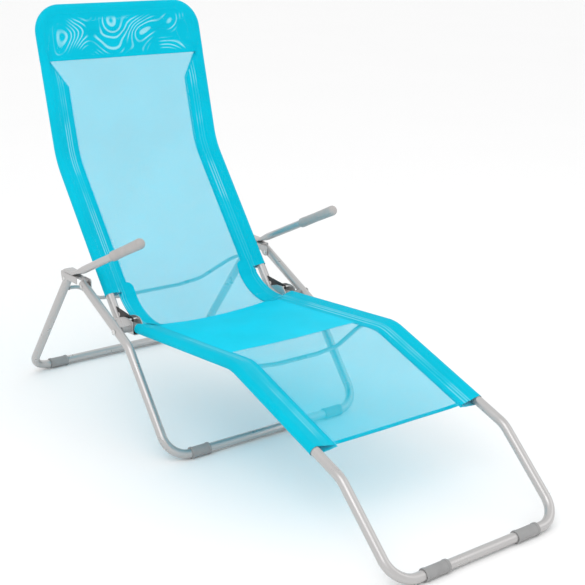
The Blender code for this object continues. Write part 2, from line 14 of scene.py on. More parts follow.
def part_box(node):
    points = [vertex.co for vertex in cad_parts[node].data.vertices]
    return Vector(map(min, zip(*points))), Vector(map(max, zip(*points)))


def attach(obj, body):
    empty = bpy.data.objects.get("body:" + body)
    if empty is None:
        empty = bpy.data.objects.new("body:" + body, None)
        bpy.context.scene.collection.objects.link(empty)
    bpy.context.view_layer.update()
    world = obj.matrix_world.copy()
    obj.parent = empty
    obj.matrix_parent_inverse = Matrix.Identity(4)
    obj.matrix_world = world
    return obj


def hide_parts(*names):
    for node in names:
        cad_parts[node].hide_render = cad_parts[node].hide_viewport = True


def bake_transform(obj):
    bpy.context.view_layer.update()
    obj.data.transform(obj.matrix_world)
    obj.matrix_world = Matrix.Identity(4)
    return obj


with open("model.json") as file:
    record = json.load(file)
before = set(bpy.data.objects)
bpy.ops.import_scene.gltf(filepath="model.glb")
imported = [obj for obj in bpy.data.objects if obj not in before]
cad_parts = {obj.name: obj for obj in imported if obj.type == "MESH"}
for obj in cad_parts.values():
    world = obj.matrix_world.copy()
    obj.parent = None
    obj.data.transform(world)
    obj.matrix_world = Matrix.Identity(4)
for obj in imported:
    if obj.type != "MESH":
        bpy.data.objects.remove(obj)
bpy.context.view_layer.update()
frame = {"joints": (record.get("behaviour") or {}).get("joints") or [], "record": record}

bl_info = {
    "name": "Sun lounger looks",
    "version": (1, 0, 0),
    "blender": (4, 5, 0),
    "location": "3D View > Sidebar > Lounger",
    "description": "Makes the visible pieces of a folding sun lounger around its packed frame",
    "category": "Object",
}

SIDES = {"left": 1, "right": -1}


# Places, read from the frame

def joint_place(name):
    """A joint's axis as a (y, z) point."""
    joint = next(j for j in frame["joints"] if j["name"] == name)
    return (joint["pos_m"][1], joint["pos_m"][2])


def offset(place, dy, dz):
    return (place[0] + dy, place[1] + dz)


TUBE_R = 0.011
ROD_R = 0.005
ARM_R = 0.0095
SHEET = 0.002
GAP = 0.0003
PLATE_EDGE = 0.0004
FOLD_R = 0.0035
BACK_BEND_R, HEAD_CORNER_R = 0.18, 0.060
FRONT_BEND_R, KNEE_R, KINK_R, CORNER_R = 0.06, 0.10, 0.07, 0.055
ROD_BEND_R = 0.05
SEAT_TAIL, REAR_HEAD = 0.0695, 0.010
CHANNEL_FRONT, CHANNEL_REAR, CHANNEL_TOP = -0.012, 0.066, 0.0235
GUSSET_HALF, NOTCH_AT, NOTCH_R = 0.00125, 0.012, 0.0052
RIVET_R, HEAD_HEIGHT = 0.0025, 0.0016
COVER_FRONT = 0.409
PRESSED_WIDTH, PRESSED_HEIGHT, SWELL_RUN = 0.029, 0.007, 0.046
GRIP_R, GRIP_LENGTH, GRIP_HOLD = 0.0128, 0.146, 0.134
CAP_SIDES = 36
SIDEWAYS = Vector((1, 0, 0))
ODD_WAY = Vector((0.31, 0.77, 0.55))
LIP_ANGLES = (0.0, 0.55, 1.1, math.pi / 2)

SEAT_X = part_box("seat_frame")[1].x - TUBE_R
LEG_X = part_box("front_leg_frame")[1].x - TUBE_R
FLOOR_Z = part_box("front_leg_frame")[0].z + TUBE_R

SEAT_PIVOT = joint_place("seat_rock")
HINGE = joint_place("back_fold")
REAR_PIVOT = joint_place("rear_leg_fold")

FOOT_BAR = (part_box("seat_frame")[0].y + TUBE_R, FLOOR_Z)
REAR_BAR = (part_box("rear_leg_frame")[1].y - TUBE_R, FLOOR_Z)
FRONT_BAR = (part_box("front_leg_frame")[0].y + TUBE_R, FLOOR_Z)
BACK_TOP = (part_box("back_frame")[1].y - TUBE_R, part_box("back_frame")[1].z - TUBE_R)

KNEE = offset(SEAT_PIVOT, -0.408, 0.0335)
KINK = offset(KNEE, -0.366, -0.121)
BACK_FOOT = offset(SEAT_PIVOT, 0.079, -0.0047)
BACK_BEND = offset(BACK_TOP, -0.102, -0.362)
FRONT_TOP = offset(REAR_PIVOT, -0.073, 0.0041)
FRONT_BEND = offset(SEAT_PIVOT, -0.051, -0.0239)
FRONT_RIVET = offset(REAR_PIVOT, -0.084, -0.001)
ARM_REAR = offset(REAR_PIVOT, 0.0, 0.0213)
ARM_BEND = offset(REAR_PIVOT, -0.042, 0.0213)
ARM_TIP = offset(REAR_PIVOT, -0.346, 0.1678)


# Small geometry

def side_point(x, place):
    return Vector((x, place[0], place[1]))


def toward(start, end, distance):
    """The (y, z) point at a distance from start towards end."""
    run = Vector(end) - Vector(start)
    return tuple(Vector(start) + run.normalized() * distance)


def smooth_step(low, high, value):
    share = min(1.0, max(0.0, (value - low) / (high - low)))
    return share * share * (3 - 2 * share)


def fillet_path(corners, radii, step=math.radians(4)):
    """A polyline through corners, with an arc of the given radius at each inner one."""
    path = [Vector(corners[0])]
    for before, corner, after, radius in zip(corners, corners[1:], corners[2:], radii):
        into = (Vector(before) - Vector(corner)).normalized()
        out = (Vector(after) - Vector(corner)).normalized()
        half = into.angle(out) / 2
        centre = Vector(corner) + (into + out).normalized() * (radius / math.sin(half))
        first = Vector(corner) + into * (radius / math.tan(half)) - centre
        last = Vector(corner) + out * (radius / math.tan(half)) - centre
        turn = math.pi - 2 * half
        steps = max(3, math.ceil(turn / step))
        for i in range(steps + 1):
            share = i / steps
            blend = first * math.sin((1 - share) * turn) + last * math.sin(share * turn)
            path.append(centre + blend / math.sin(turn))
    path.append(Vector(corners[-1]))
    return path


def frame_path(profile, half_width, bend_radii, corner_radius):
    """A U frame: down the right side, across at the profile's last point, up the left side."""
    down = [side_point(-half_width, p) for p in profile]
    up = [side_point(half_width, p) for p in reversed(profile)]
    return fillet_path(down + up, bend_radii + [corner_radius, corner_radius] + bend_radii[::-1])


def resampled(path, step, keep=()):
    """Points on a polyline at about a step apart, with those at the kept distances exactly."""
    lengths = [0.0]
    for a, b in zip(path, path[1:]):
        lengths.append(lengths[-1] + (b - a).length)
    count = max(2, round(lengths[-1] / step))
    wanted = sorted({round(lengths[-1] * i / count, 6) for i in range(count + 1)} | set(keep))
    points = []
    at = 0
    for distance in wanted:
        while at < len(lengths) - 2 and lengths[at + 1] < distance:
            at += 1
        share = (distance - lengths[at]) / max(lengths[at + 1] - lengths[at], 1e-9)
        points.append(path[at].lerp(path[at + 1], share))
    return wanted, points


def tangents(path):
    ends = [path[0]] + list(path) + [path[-1]]
    return [(b - a).normalized() for a, b in zip(ends, ends[2:])]


# Meshes

class Build:
    """Collects points, faces, UVs and material numbers of one piece."""

    def __init__(self):
        self.shape = bmesh.new()
        self.uv = self.shape.loops.layers.uv.new("UVMap")

    def rows(self, rows, uvs=None, closed=False, material=0):
        """A grid of faces over rows of points; closed joins each row's end to its start."""
        verts = [[self.shape.verts.new(p) for p in row] for row in rows]
        for i, (low, high) in enumerate(zip(verts, verts[1:])):
            count = len(low) if closed else len(low) - 1
            for j in range(count):
                k = (j + 1) % len(low)
                face = self.shape.faces.new((low[j], low[k], high[k], high[j]))
                face.material_index = material
                face.smooth = True
                if uvs:
                    corners = (uvs[i][j], uvs[i][k], uvs[i + 1][k], uvs[i + 1][j])
                    for loop, place in zip(face.loops, corners):
                        loop[self.uv].uv = place
        return verts

    def fan(self, ring, centre, material=0):
        """Closes a ring with faces to its centre."""
        middle = self.shape.verts.new(centre)
        for i, vert in enumerate(ring):
            face = self.shape.faces.new((vert, ring[(i + 1) % len(ring)], middle))
            face.material_index = material
            face.smooth = True

    def finish(self, name, materials, merge=0.00002, outward=True, sharp=40):
        if merge:
            bmesh.ops.remove_doubles(self.shape, verts=self.shape.verts, dist=merge)
        if outward:
            bmesh.ops.recalc_face_normals(self.shape, faces=self.shape.faces)
        mesh = bpy.data.meshes.new(name)
        self.shape.to_mesh(mesh)
        self.shape.free()
        for material_name in materials:
            mesh.materials.append(material(material_name))
        mesh.set_sharp_from_angle(angle=math.radians(sharp))
        return placed(name, mesh)


def placed(name, data):
    """A new object in the scene."""
    obj = bpy.data.objects.new(name, data)
    bpy.context.scene.collection.objects.link(obj)
    return obj


def ring(centre, tangent, across, radius, sides):
    """A circle of points round centre, square to tangent."""
    up = across.cross(tangent).normalized()
    angles = [2 * math.pi * i / sides for i in range(sides)]
    return [centre + across * (radius * math.cos(a)) + up * (radius * math.sin(a)) for a in angles]


def swept(build, path, radius, sides, lip, plug):
    """A tube along a path: a rolled lip and a set-in plug at each end."""
    stations = []
    across = tangents(path)[0].cross(ODD_WAY).normalized()
    for point, direction in zip(path, tangents(path)):
        across = (across - direction * across.dot(direction)).normalized()
        stations.append((point, direction, across, radius))
    lips = []
    for (centre, direction, across, radius), sign in ((stations[0], 1), (stations[-1], -1)):
        inward = direction * sign
        lips.append([(centre + inward * (lip * (1 - math.sin(a))), direction, across,
                      radius - lip * (1 - math.cos(a))) for a in LIP_ANGLES])
    stations = lips[0][::-1] + stations[1:-1] + lips[1]
    build.rows([ring(p, t, a, r, sides) for p, t, a, r in stations], closed=True)
    for (centre, tangent, side, r), sign in ((stations[0], 1), (stations[-1], -1)):
        bore = [ring(centre + tangent * sign * depth, tangent, side, r * share, sides)
                for depth, share in ((0.0, 1.0), (0.0, 0.90), (plug, 0.88), (plug, 0.55))]
        inner = build.rows(bore, closed=True, material=1)
        build.fan(inner[-1], centre + tangent * sign * (plug - lip), material=1)


def tube(name, path):
    """A frame tube along a path."""
    build = Build()
    swept(build, path, TUBE_R, 28, 0.0007, 0.0016)
    return build.finish(name, ["silver_paint", "grained_grey"])


def lathe(name, profile, centre, axis, sides, material_name):
    """A (radius, height) profile, from one pole or rim to the other, turned about an axis."""
    build = Build()
    axis = axis.normalized()
    across = axis.orthogonal().normalized()
    body = [(r, h) for r, h in profile if r > 0]
    rows = build.rows([ring(centre + axis * h, axis, across, r, sides) for r, h in body], closed=True)
    for row, (r, h) in ((rows[0], profile[0]), (rows[-1], profile[-1])):
        if r == 0:
            build.fan(row, centre + axis * h)
    return build.finish(name, [material_name], sharp=35)


def plate(name, outline, x, half, material_name):
    """A flat (y, z) outline with rounded edges, half a thickness to each side of x."""
    curve = bpy.data.curves.new(name, "CURVE")
    curve.dimensions = "2D"
    curve.fill_mode = "BOTH"
    curve.extrude = half - PLATE_EDGE
    curve.bevel_depth = PLATE_EDGE
    curve.bevel_resolution = 2
    curve.offset = -PLATE_EDGE
    spline = curve.splines.new("POLY")
    spline.points.add(len(outline) - 1)
    spline.use_cyclic_u = True
    for point, place in zip(spline.points, outline):
        point.co = (place[0], place[1], 0.0, 1.0)
    source = placed(name + "_outline", curve)
    mesh = bpy.data.meshes.new_from_object(source.evaluated_get(bpy.context.evaluated_depsgraph_get()))
    bpy.data.objects.remove(source)
    build = Build()
    build.shape.from_mesh(mesh)
    turn = Matrix(((0, 0, 1, x), (1, 0, 0, 0), (0, 1, 0, 0), (0, 0, 0, 1)))
    bmesh.ops.transform(build.shape, matrix=turn, verts=build.shape.verts)
    for face in build.shape.faces:
        face.smooth = True
        face.material_index = 0
    return build.finish(name, [material_name], sharp=30)


def folded_sheet(name, stations):
    """Sheet metal through open sections, each a list of points, given its thickness inwards."""
    build = Build()
    build.rows(stations)
    obj = build.finish(name, ["silver_paint"], outward=False)
    shell = obj.modifiers.new("sheet", "SOLIDIFY")
    shell.thickness = SHEET
    shell.offset = -1.0
    bevel = obj.modifiers.new("edges", "BEVEL")
    bevel.width = 0.0006
    bevel.segments = 2
    bevel.limit_method = "ANGLE"
    bevel.angle_limit = math.radians(50)
    return applied(obj)


def arc(centre, radius, start, end, count):
    """Points of an arc in two coordinates, angles in degrees."""
    angles = [math.radians(start + (end - start) * i / (count - 1)) for i in range(count)]
    return [(centre[0] + radius * math.cos(a), centre[1] + radius * math.sin(a)) for a in angles]


def applied(obj):
    """Turns the evaluated object into a plain mesh and drops its modifiers."""
    evaluated = obj.evaluated_get(bpy.context.evaluated_depsgraph_get())
    mesh = bpy.data.meshes.new_from_object(evaluated)
    obj.modifiers.clear()
    obj.data = mesh
    return obj


def joined(first, second, name):
    """Both objects' meshes as one object."""
    build = Build()
    for obj in (first, second):
        build.shape.from_mesh(obj.data)
    both = build.finish(name, [m.name for m in first.data.materials], merge=0)
    for obj in (first, second):
        bpy.data.objects.remove(obj)
    return both


BODY_OF = {node: body for body, nodes in frame["record"]["behaviour"]["bodies"].items() for node in nodes}


def stands_for(obj, *nodes):
    """The piece rides on the nodes' body and hides them."""
    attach(obj, BODY_OF[nodes[0]])
    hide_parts(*nodes)
    return obj


# Materials

def put(tree, kind, inputs=None, **settings):
    """A new node with its settings and its inputs, which are values or other nodes' outputs."""
    node = tree.nodes.new(kind)
    for name, value in settings.items():
        setattr(node, name, value)
    for socket, value in (inputs or {}).items():
        if isinstance(value, bpy.types.NodeSocket):
            tree.links.new(value, node.inputs[socket])
        else:
            node.inputs[socket].default_value = value
    return node


def sums(tree, operation, *values):
    return put(tree, "ShaderNodeMath", dict(enumerate(values)), operation=operation).outputs[0]


def ranged(tree, value, low, high, out_low, out_high):
    inputs = {"Value": value, "From Min": low, "From Max": high, "To Min": out_low, "To Max": out_high}
    return put(tree, "ShaderNodeMapRange", inputs, interpolation_type="SMOOTHSTEP").outputs["Result"]


def blended(tree, share, first, second):
    node = put(tree, "ShaderNodeMix", data_type="RGBA")
    tree.links.new(share, node.inputs["Factor"])
    for socket, value in ((node.inputs[6], first), (node.inputs[7], second)):
        if isinstance(value, bpy.types.NodeSocket):
            tree.links.new(value, socket)
        else:
            socket.default_value = (*value, 1.0)
    return node.outputs[2]


def mottled(tree, tone, low, high, colour, dark, light):
    """The colour times dark where the tone is low, times light where it is high."""
    base = Vector(colour)
    return blended(tree, ranged(tree, tone, low, high, 0.0, 1.0), base * dark, base * light)


def bumped(tree, height, strength, distance):
    inputs = {"Height": height, "Strength": strength, "Distance": distance}
    return put(tree, "ShaderNodeBump", inputs).outputs["Normal"]


def noisy(tree, coordinates, scale, detail=3.0, roughness=0.5, distortion=0.0):
    inputs = {"Vector": coordinates, "Scale": scale, "Detail": detail, "Roughness": roughness,
              "Distortion": distortion}
    return put(tree, "ShaderNodeTexNoise", inputs).outputs["Fac"]


def object_coordinates(tree):
    return put(tree, "ShaderNodeTexCoord").outputs["Object"]


def new_surface(name):
    made = bpy.data.materials.new(name)
    made.use_nodes = True
    return made, made.node_tree


def dressed(made, colour, roughness, normal=None, metallic=0.0, specular=0.5, alpha=1.0):
    """Sets the material's shader: numbers on its own sockets, nodes' outputs as links."""
    sockets = {"Base Color": colour, "Roughness": roughness, "Normal": normal, "Metallic": metallic,
               "Specular IOR Level": specular, "Alpha": alpha}
    inputs = made.node_tree.nodes["Principled BSDF"].inputs
    for name, value in sockets.items():
        if isinstance(value, bpy.types.NodeSocket):
            made.node_tree.links.new(value, inputs[name])
        elif value is not None:
            inputs[name].default_value = value
    return made


def silver_paint(settings):
    """Silver-grey powder coat: fine flake, an orange-peel skin and slightly uneven gloss."""
    made, tree = new_surface("silver_paint")
    place = object_coordinates(tree)
    flake, cloud = noisy(tree, place, 1600.0, 1.0), noisy(tree, place, 22.0)
    tone = sums(tree, "ADD", sums(tree, "MULTIPLY", flake, 0.7), sums(tree, "MULTIPLY", cloud, 0.3))
    return dressed(made, mottled(tree, tone, 0.3, 0.7, settings.silver, 0.96, 1.04),
                   ranged(tree, cloud, 0.3, 0.7, 0.27, 0.36),
                   bumped(tree, noisy(tree, place, 420.0, 2.0), 0.05, 0.0003), metallic=0.65)


def bright_zinc(settings):
    """Zinc-plated rivets: fine scratches and small dull patches."""
    made, tree = new_surface("bright_zinc")
    place = object_coordinates(tree)
    patches = noisy(tree, place, 260.0, 4.0)
    scratch = noisy(tree, place, 1500.0, 2.0, distortion=1.5)
    return dressed(made, mottled(tree, patches, 0.35, 0.65, settings.zinc, 0.86, 1.0),
                   ranged(tree, patches, 0.3, 0.7, 0.22, 0.40),
                   bumped(tree, scratch, 0.15, 0.0002), metallic=0.9)


def black_plate(settings):
    """Near-black plate, paler in random patches."""
    made, tree = new_surface("black_plate")
    rub = noisy(tree, object_coordinates(tree), 180.0, 5.0, 0.6)
    return dressed(made, mottled(tree, rub, 0.52, 0.75, settings.black, 1.0, 3.0),
                   ranged(tree, rub, 0.3, 0.7, 0.36, 0.58), bumped(tree, rub, 0.15, 0.0003))


def moulded(name, colour, roughness, grain):
    """Moulded plastic with a fine spark-eroded grain."""
    made, tree = new_surface(name)
    place = object_coordinates(tree)
    cells = put(tree, "ShaderNodeTexVoronoi", {"Vector": place, "Scale": 1700.0}).outputs["Distance"]
    flow = noisy(tree, place, 35.0)
    return dressed(made, mottled(tree, flow, 0.3, 0.7, colour, 0.93, 1.05),
                   ranged(tree, flow, 0.3, 0.7, roughness - 0.06, roughness + 0.06),
                   bumped(tree, cells, grain, 0.0003), specular=0.4)


def weave(tree, pitch, thread_share):
    """Crossing threads on the cloth's own map: how much thread is there, and its height."""
    uv = put(tree, "ShaderNodeUVMap", uv_map="UVMap").outputs["UV"]
    parts = put(tree, "ShaderNodeSeparateXYZ", {"Vector": uv})
    along = [sums(tree, "MULTIPLY", parts.outputs[axis], math.pi / pitch) for axis in ("X", "Y")]
    waves = [sums(tree, "ABSOLUTE", sums(tree, "SINE", value)) for value in along]
    edge = math.cos(math.pi * thread_share / 2)
    threads = [ranged(tree, wave, edge - 0.10, edge + 0.10, 0.0, 1.0) for wave in waves]
    covered = sums(tree, "MAXIMUM", threads[0], threads[1])
    over = sums(tree, "SINE", sums(tree, "ADD", along[0], along[1]))
    lift = sums(tree, "MULTIPLY", sums(tree, "SUBTRACT", waves[0], waves[1]), over)
    height = sums(tree, "ADD", covered, sums(tree, "MULTIPLY", lift, 0.5))
    return uv, parts, covered, height


def painted_highlight_streaks(tree, uv, across, shade, glint, strength):
    """Painted highlights: pale streaks along the sleeves, broken here and there."""
    lines = 0.0
    for shift in HIGHLIGHT_LINES:
        away = sums(tree, "ABSOLUTE", sums(tree, "SUBTRACT", across, SEAM_X + shift))
        lines = sums(tree, "MAXIMUM", lines, ranged(tree, away, 0.0004, 0.0015, 1.0, 0.0))
    breaks = ranged(tree, noisy(tree, uv, 8.0, 1.0), 0.42, 0.58, 0.15, 1.0)
    glow = sums(tree, "MULTIPLY", lines, sums(tree, "MULTIPLY", breaks, strength))
    return blended(tree, glow, shade, glint)


def painted_moire_glints(tree, uv, across, along, shade, glint, strength):
    """Painted light: pale moiré bands, as light shows through two layers of mesh, in patches on the head
    pocket's front.
    """
    field = noisy(tree, uv, 8.0, 0.6, 0.3)
    bands = sums(tree, "SINE", sums(tree, "MULTIPLY", field, 2 * math.pi * BAND_COUNT))
    top = sling_pocket_top()
    glow = ranged(tree, bands, 0.2, 1.0, 0.0, strength)
    for limit in (ranged(tree, noisy(tree, uv, 14.0, 1.0), 0.41, 0.58, 0.0, 1.0),
                  ranged(tree, along, top - 0.034, top - 0.022, 1.0, 0.0),
                  ranged(tree, along, top - 0.122, top - 0.108, 0.0, 1.0),
                  ranged(tree, across, SEAM_X + 0.008, SEAM_X + 0.024, 1.0, 0.0)):
        glow = sums(tree, "MULTIPLY", glow, limit)
    return blended(tree, glow, shade, glint)


def mesh_cloth(name, settings, colour, thread_share, streaks=0.0, moire=0.0):
    """Plastic-coated mesh: open weave, a soft sheen, painted highlight streaks on the sleeves, and painted
    moiré glints where doubled.
    """
    made, tree = new_surface(name)
    pitch = settings.thread_pitch
    uv, parts, covered, height = weave(tree, pitch, thread_share)
    shade = mottled(tree, noisy(tree, uv, 7.0), 0.3, 0.7, colour, 0.95, 1.03)
    worn = ranged(tree, noisy(tree, uv, 160.0, 2.0), 0.35, 0.75, 0.0, 0.25)
    shade = blended(tree, worn, shade, Vector(colour) * 0.82)
    across = sums(tree, "ABSOLUTE", parts.outputs["X"])
    if streaks:
        shade = painted_highlight_streaks(tree, uv, across, shade, settings.glint, streaks)
    if moire:
        shade = painted_moire_glints(tree, uv, across, parts.outputs["Y"], shade, settings.glint, moire)
    return dressed(made, shade, 0.52, bumped(tree, height, 0.35, pitch * 0.25), specular=0.05,
                   alpha=covered)


def sling_pocket_top():
    """Where the head pocket's top lies on the cloth's own map."""
    cloth = bpy.context.scene.lounger_cloth
    return Sling(cloth).pocket + cloth.pocket_depth


def thread(settings):
    """Twisted sewing thread."""
    made, tree = new_surface("sewing_thread")
    twist = noisy(tree, object_coordinates(tree), 2600.0, 1.0)
    return dressed(made, mottled(tree, twist, 0.35, 0.65, settings.cyan, 0.95, 1.2), 0.6,
                   bumped(tree, twist, 0.4, 0.0002))


def floor_paint(settings):
    """Plain pale studio floor."""
    made, tree = new_surface("studio_floor")
    soft = noisy(tree, object_coordinates(tree), 1.2, 2.0)
    return dressed(made, mottled(tree, soft, 0.3, 0.7, settings.floor, 0.995, 1.0), 0.9, specular=0.1)


def make_material(name):
    scene = bpy.context.scene
    finish, cloth = scene.lounger_finish, scene.lounger_cloth
    cyan = Vector(cloth.cyan)
    # Painted shade: the open mesh, the sleeves and the head pocket get darker copies (times 0.92 and 0.84) of
    # the one thread colour that the seat layer gets in full.
    painted_shade_cyan = cyan * 0.84
    makers = {
        "silver_paint": lambda: silver_paint(finish),
        "bright_zinc": lambda: bright_zinc(finish),
        "black_plate": lambda: black_plate(finish),
        "grained_grey": lambda: moulded(name, finish.cap_grey, 0.55, 0.18),
        "grained_grip": lambda: moulded(name, finish.grip_grey, 0.48, 0.12),
        "open_mesh": lambda: mesh_cloth(name, cloth, cyan * 0.92, cloth.open_share),
        "sleeve_mesh": lambda: mesh_cloth(name, cloth, painted_shade_cyan, cloth.sleeve_share, streaks=0.6),
        "head_mesh": lambda: mesh_cloth(name, cloth, painted_shade_cyan, cloth.sleeve_share, moire=0.7),
        "seat_mesh": lambda: mesh_cloth(name, cloth, cyan, cloth.dense_share),
        "sewing_thread": lambda: thread(cloth),
        "studio_floor": lambda: floor_paint(scene.lounger_stage),
    }
    return makers[name]()


def material(name):
    return bpy.data.materials.get(name) or make_material(name)


# Tube frames

def make_frames():
    seat_run = Vector(SEAT_PIVOT) - Vector(KNEE)
    seat_end = tuple(Vector(SEAT_PIVOT) + seat_run.normalized() * SEAT_TAIL)
    rear_top = toward(REAR_PIVOT, REAR_BAR, -REAR_HEAD)
    paths = {
        "front_leg_frame": frame_path([FRONT_TOP, FRONT_BEND, FRONT_BAR], LEG_X, [FRONT_BEND_R], CORNER_R),
        "rear_leg_frame": frame_path([rear_top, REAR_BAR], LEG_X, [], CORNER_R),
        "seat_frame": frame_path([seat_end, KNEE, KINK, FOOT_BAR], SEAT_X, [KNEE_R, KINK_R], CORNER_R),
        "back_frame": frame_path([BACK_FOOT, BACK_BEND, BACK_TOP], SEAT_X, [BACK_BEND_R], HEAD_CORNER_R),
    }
    for node, path in paths.items():
        stands_for(tube(node + "_tube", path), node)


def rod_path(half):
    """A rod's path: its right half, and the same mirrored, with round bends."""
    corners = half + [Vector((-p.x, p.y, p.z)) for p in reversed(half)]
    return fillet_path(corners, [ROD_BEND_R] * (len(corners) - 2))


def seat_height(y):
    """Height of the seat tube's centreline at y."""
    return SEAT_PIVOT[1] + (y - SEAT_PIVOT[0]) * (SEAT_PIVOT[1] - KNEE[1]) / (SEAT_PIVOT[0] - KNEE[0])


def add_weld(build, path):
    """Beads of weld at a rod's two ends."""
    profile = [(ROD_R, 0.0040), (ROD_R + 0.0010, 0.0032), (ROD_R + 0.0018, 0.0018),
               (ROD_R + 0.0020, 0.0006), (ROD_R + 0.0012, 0.0001), (ROD_R, 0.0)]
    for end, inner in ((path[0], path[1]), (path[-1], path[-2])):
        inward = (inner - end).normalized()
        across = inward.orthogonal().normalized()
        rows = []
        for r, h in profile:
            centre = end + inward * h
            row = []
            for point in ring(centre, inward, across, 1.0, 20):
                way = point - centre
                swell = 1 + 0.05 * noise.noise(way * 2.3 + Vector((h * 900, 3.1, r * 400)))
                row.append(centre + way * r * swell)
            rows.append(row)
        build.rows(rows, closed=True)


def make_rods():
    brace = [(0.2676, 0.044), (0.236, 0.050), (0.160, 0.118), (0.095, 0.130)]
    spreader = [(0.2190, 0.0085), (0.186, 0.0095), (0.120, 0.045), (0.060, 0.052)]
    spread_y = (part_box("seat_spreader")[0].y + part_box("seat_spreader")[1].y) / 2
    halves = {
        "back_brace": [side_point(x, toward(REAR_PIVOT, REAR_BAR, drop)) for x, drop in brace],
        "seat_spreader": [side_point(x, (spread_y, seat_height(spread_y) - drop)) for x, drop in spreader],
    }
    for node, half in halves.items():
        path = rod_path(half)
        build = Build()
        swept(build, path, ROD_R, 20, 0.0006, 0.0004)
        add_weld(build, path)
        stands_for(build.finish(node + "_rod", ["silver_paint", "silver_paint"]), node)


# Hinges, pivots and rivets

def along_seat(u, w):
    """A (y, z) point at u behind and w above the seat pivot, along the seat tube."""
    run = (Vector(SEAT_PIVOT) - Vector(KNEE)).normalized()
    return (SEAT_PIVOT[0] + u * run.x - w * run.y, SEAT_PIVOT[1] + u * run.y + w * run.x)


def rivet(node, place, x, shaft, half, head, height):
    """A rivet along X: a shaft, and on each end a domed head with a thin pressed rim."""
    dome = [(head * math.sin(a), half + height * (0.25 + 0.75 * math.cos(a)))
            for a in (0.0, 0.3, 0.6, 0.9, 1.2, math.pi / 2)]
    upper = dome + [(head + 0.0003, half + height * 0.12), (head + 0.0003, half), (shaft, half)]
    profile = upper + [(r, -h) for r, h in reversed(upper)]
    stands_for(lathe(node + "_metal", profile, side_point(x, place), SIDEWAYS, 28, "bright_zinc"), node)


def channel_top(u, inner):
    """Height of the channel's sides above the seat tube's line: rounded in front, falling behind."""
    low = 0.004 if inner else 0.0165
    front = low + (CHANNEL_TOP - low) * math.sin(math.pi / 2 * min(1.0, (u - CHANNEL_FRONT) / 0.020))
    return min(front, CHANNEL_TOP - 0.0095 * max(0.0, u - 0.028) / 0.038)


def channel_sections(sign):
    """U sections of the hinge channel along the seat tube, the inner side being cut lower in front."""
    x = sign * SEAT_X
    half = TUBE_R + GAP + SHEET
    sections = []
    for u in (CHANNEL_FRONT, -0.009, -0.006, -0.002, 0.002, 0.008, 0.018, 0.028, 0.047, 0.063, CHANNEL_REAR):
        corner = 0.003 if u == CHANNEL_REAR else 0.0
        sides = []
        for side in (-1, 1):
            bend = [(side * half, channel_top(u, side * sign < 0) - corner), (side * half, 0.0),
                    (side * half, -half + FOLD_R)]
            bend += [(side * (half - FOLD_R) - side * FOLD_R * p[0], -half + FOLD_R + FOLD_R * p[1])
                     for p in arc((0, 0), 1.0, 180, 270, 5)[1:]]
            sides.append(bend)
        across = sides[0] + sides[1][::-1]
        sections.append([side_point(x + w, along_seat(u, v)) for w, v in across])
    return sections


def gusset_outline():
    """The gusset from its boss on the pin, under the back tube and up along it, with its notch."""
    back_run = (Vector(BACK_BEND) - Vector(BACK_FOOT)).normalized()
    foot = Vector(BACK_FOOT) + Vector((-back_run.y, back_run.x)) * (TUBE_R + GAP)
    boss = arc(HINGE, 0.0060, 100, 265, 17)
    under = [along_seat(0.030, TUBE_R + 2 * GAP), along_seat(0.067, TUBE_R + 3 * GAP)]
    low, high = (tuple(foot + back_run * d) for d in (0.004, 0.033))
    heading = math.degrees(math.atan2(-back_run.y, -back_run.x))
    notch = arc(foot + back_run * NOTCH_AT, NOTCH_R, heading, heading - 180, 17)
    return boss + under + [low] + notch + [high]


def make_hinges():
    half = TUBE_R + 2 * GAP + SHEET
    for side, sign in SIDES.items():
        x = sign * SEAT_X
        node = f"hinge_channel_{side}"
        stands_for(folded_sheet(f"{node}_sheet", channel_sections(sign)), node)
        node = f"hinge_gusset_{side}"
        stands_for(plate(f"{node}_plate", gusset_outline(), x, GUSSET_HALF, "black_plate"), node)
        rivet(f"hinge_pin_{side}", HINGE, x, 0.00275, half, 0.0050, HEAD_HEIGHT)
        rivet(f"channel_rivet_{side}", along_seat(0.040, 0.0), x, RIVET_R, half, 0.0044, HEAD_HEIGHT)


def make_pivots():
    outer = LEG_X + TUBE_R + GAP
    inner = SEAT_X - TUBE_R - 2 * GAP - SHEET
    ends = (LEG_X - TUBE_R - GAP, SEAT_X + TUBE_R + 2 * GAP + SHEET)
    reach = (ends[0] - ends[1]) / 2
    bush = [(0.0044, reach), (0.0074, reach), (0.0080, reach - 0.0006), (0.0080, reach - 0.004),
            (0.0072, reach - 0.005), (0.0072, 0.005 - reach), (0.0080, 0.004 - reach),
            (0.0080, 0.0006 - reach), (0.0074, -reach), (0.0044, -reach), (0.0044, reach)]
    for side, sign in SIDES.items():
        rivet(f"seat_pivot_{side}", SEAT_PIVOT, sign * (outer + inner) / 2, 0.004, (outer - inner) / 2,
              0.0072, 0.0026)
        node = f"pivot_spacer_{side}"
        middle = side_point(sign * (ends[0] + ends[1]) / 2, SEAT_PIVOT)
        stands_for(lathe(f"{node}_bush", bush, middle, SIDEWAYS, 28, "grained_grey"), node)


# Arm rests

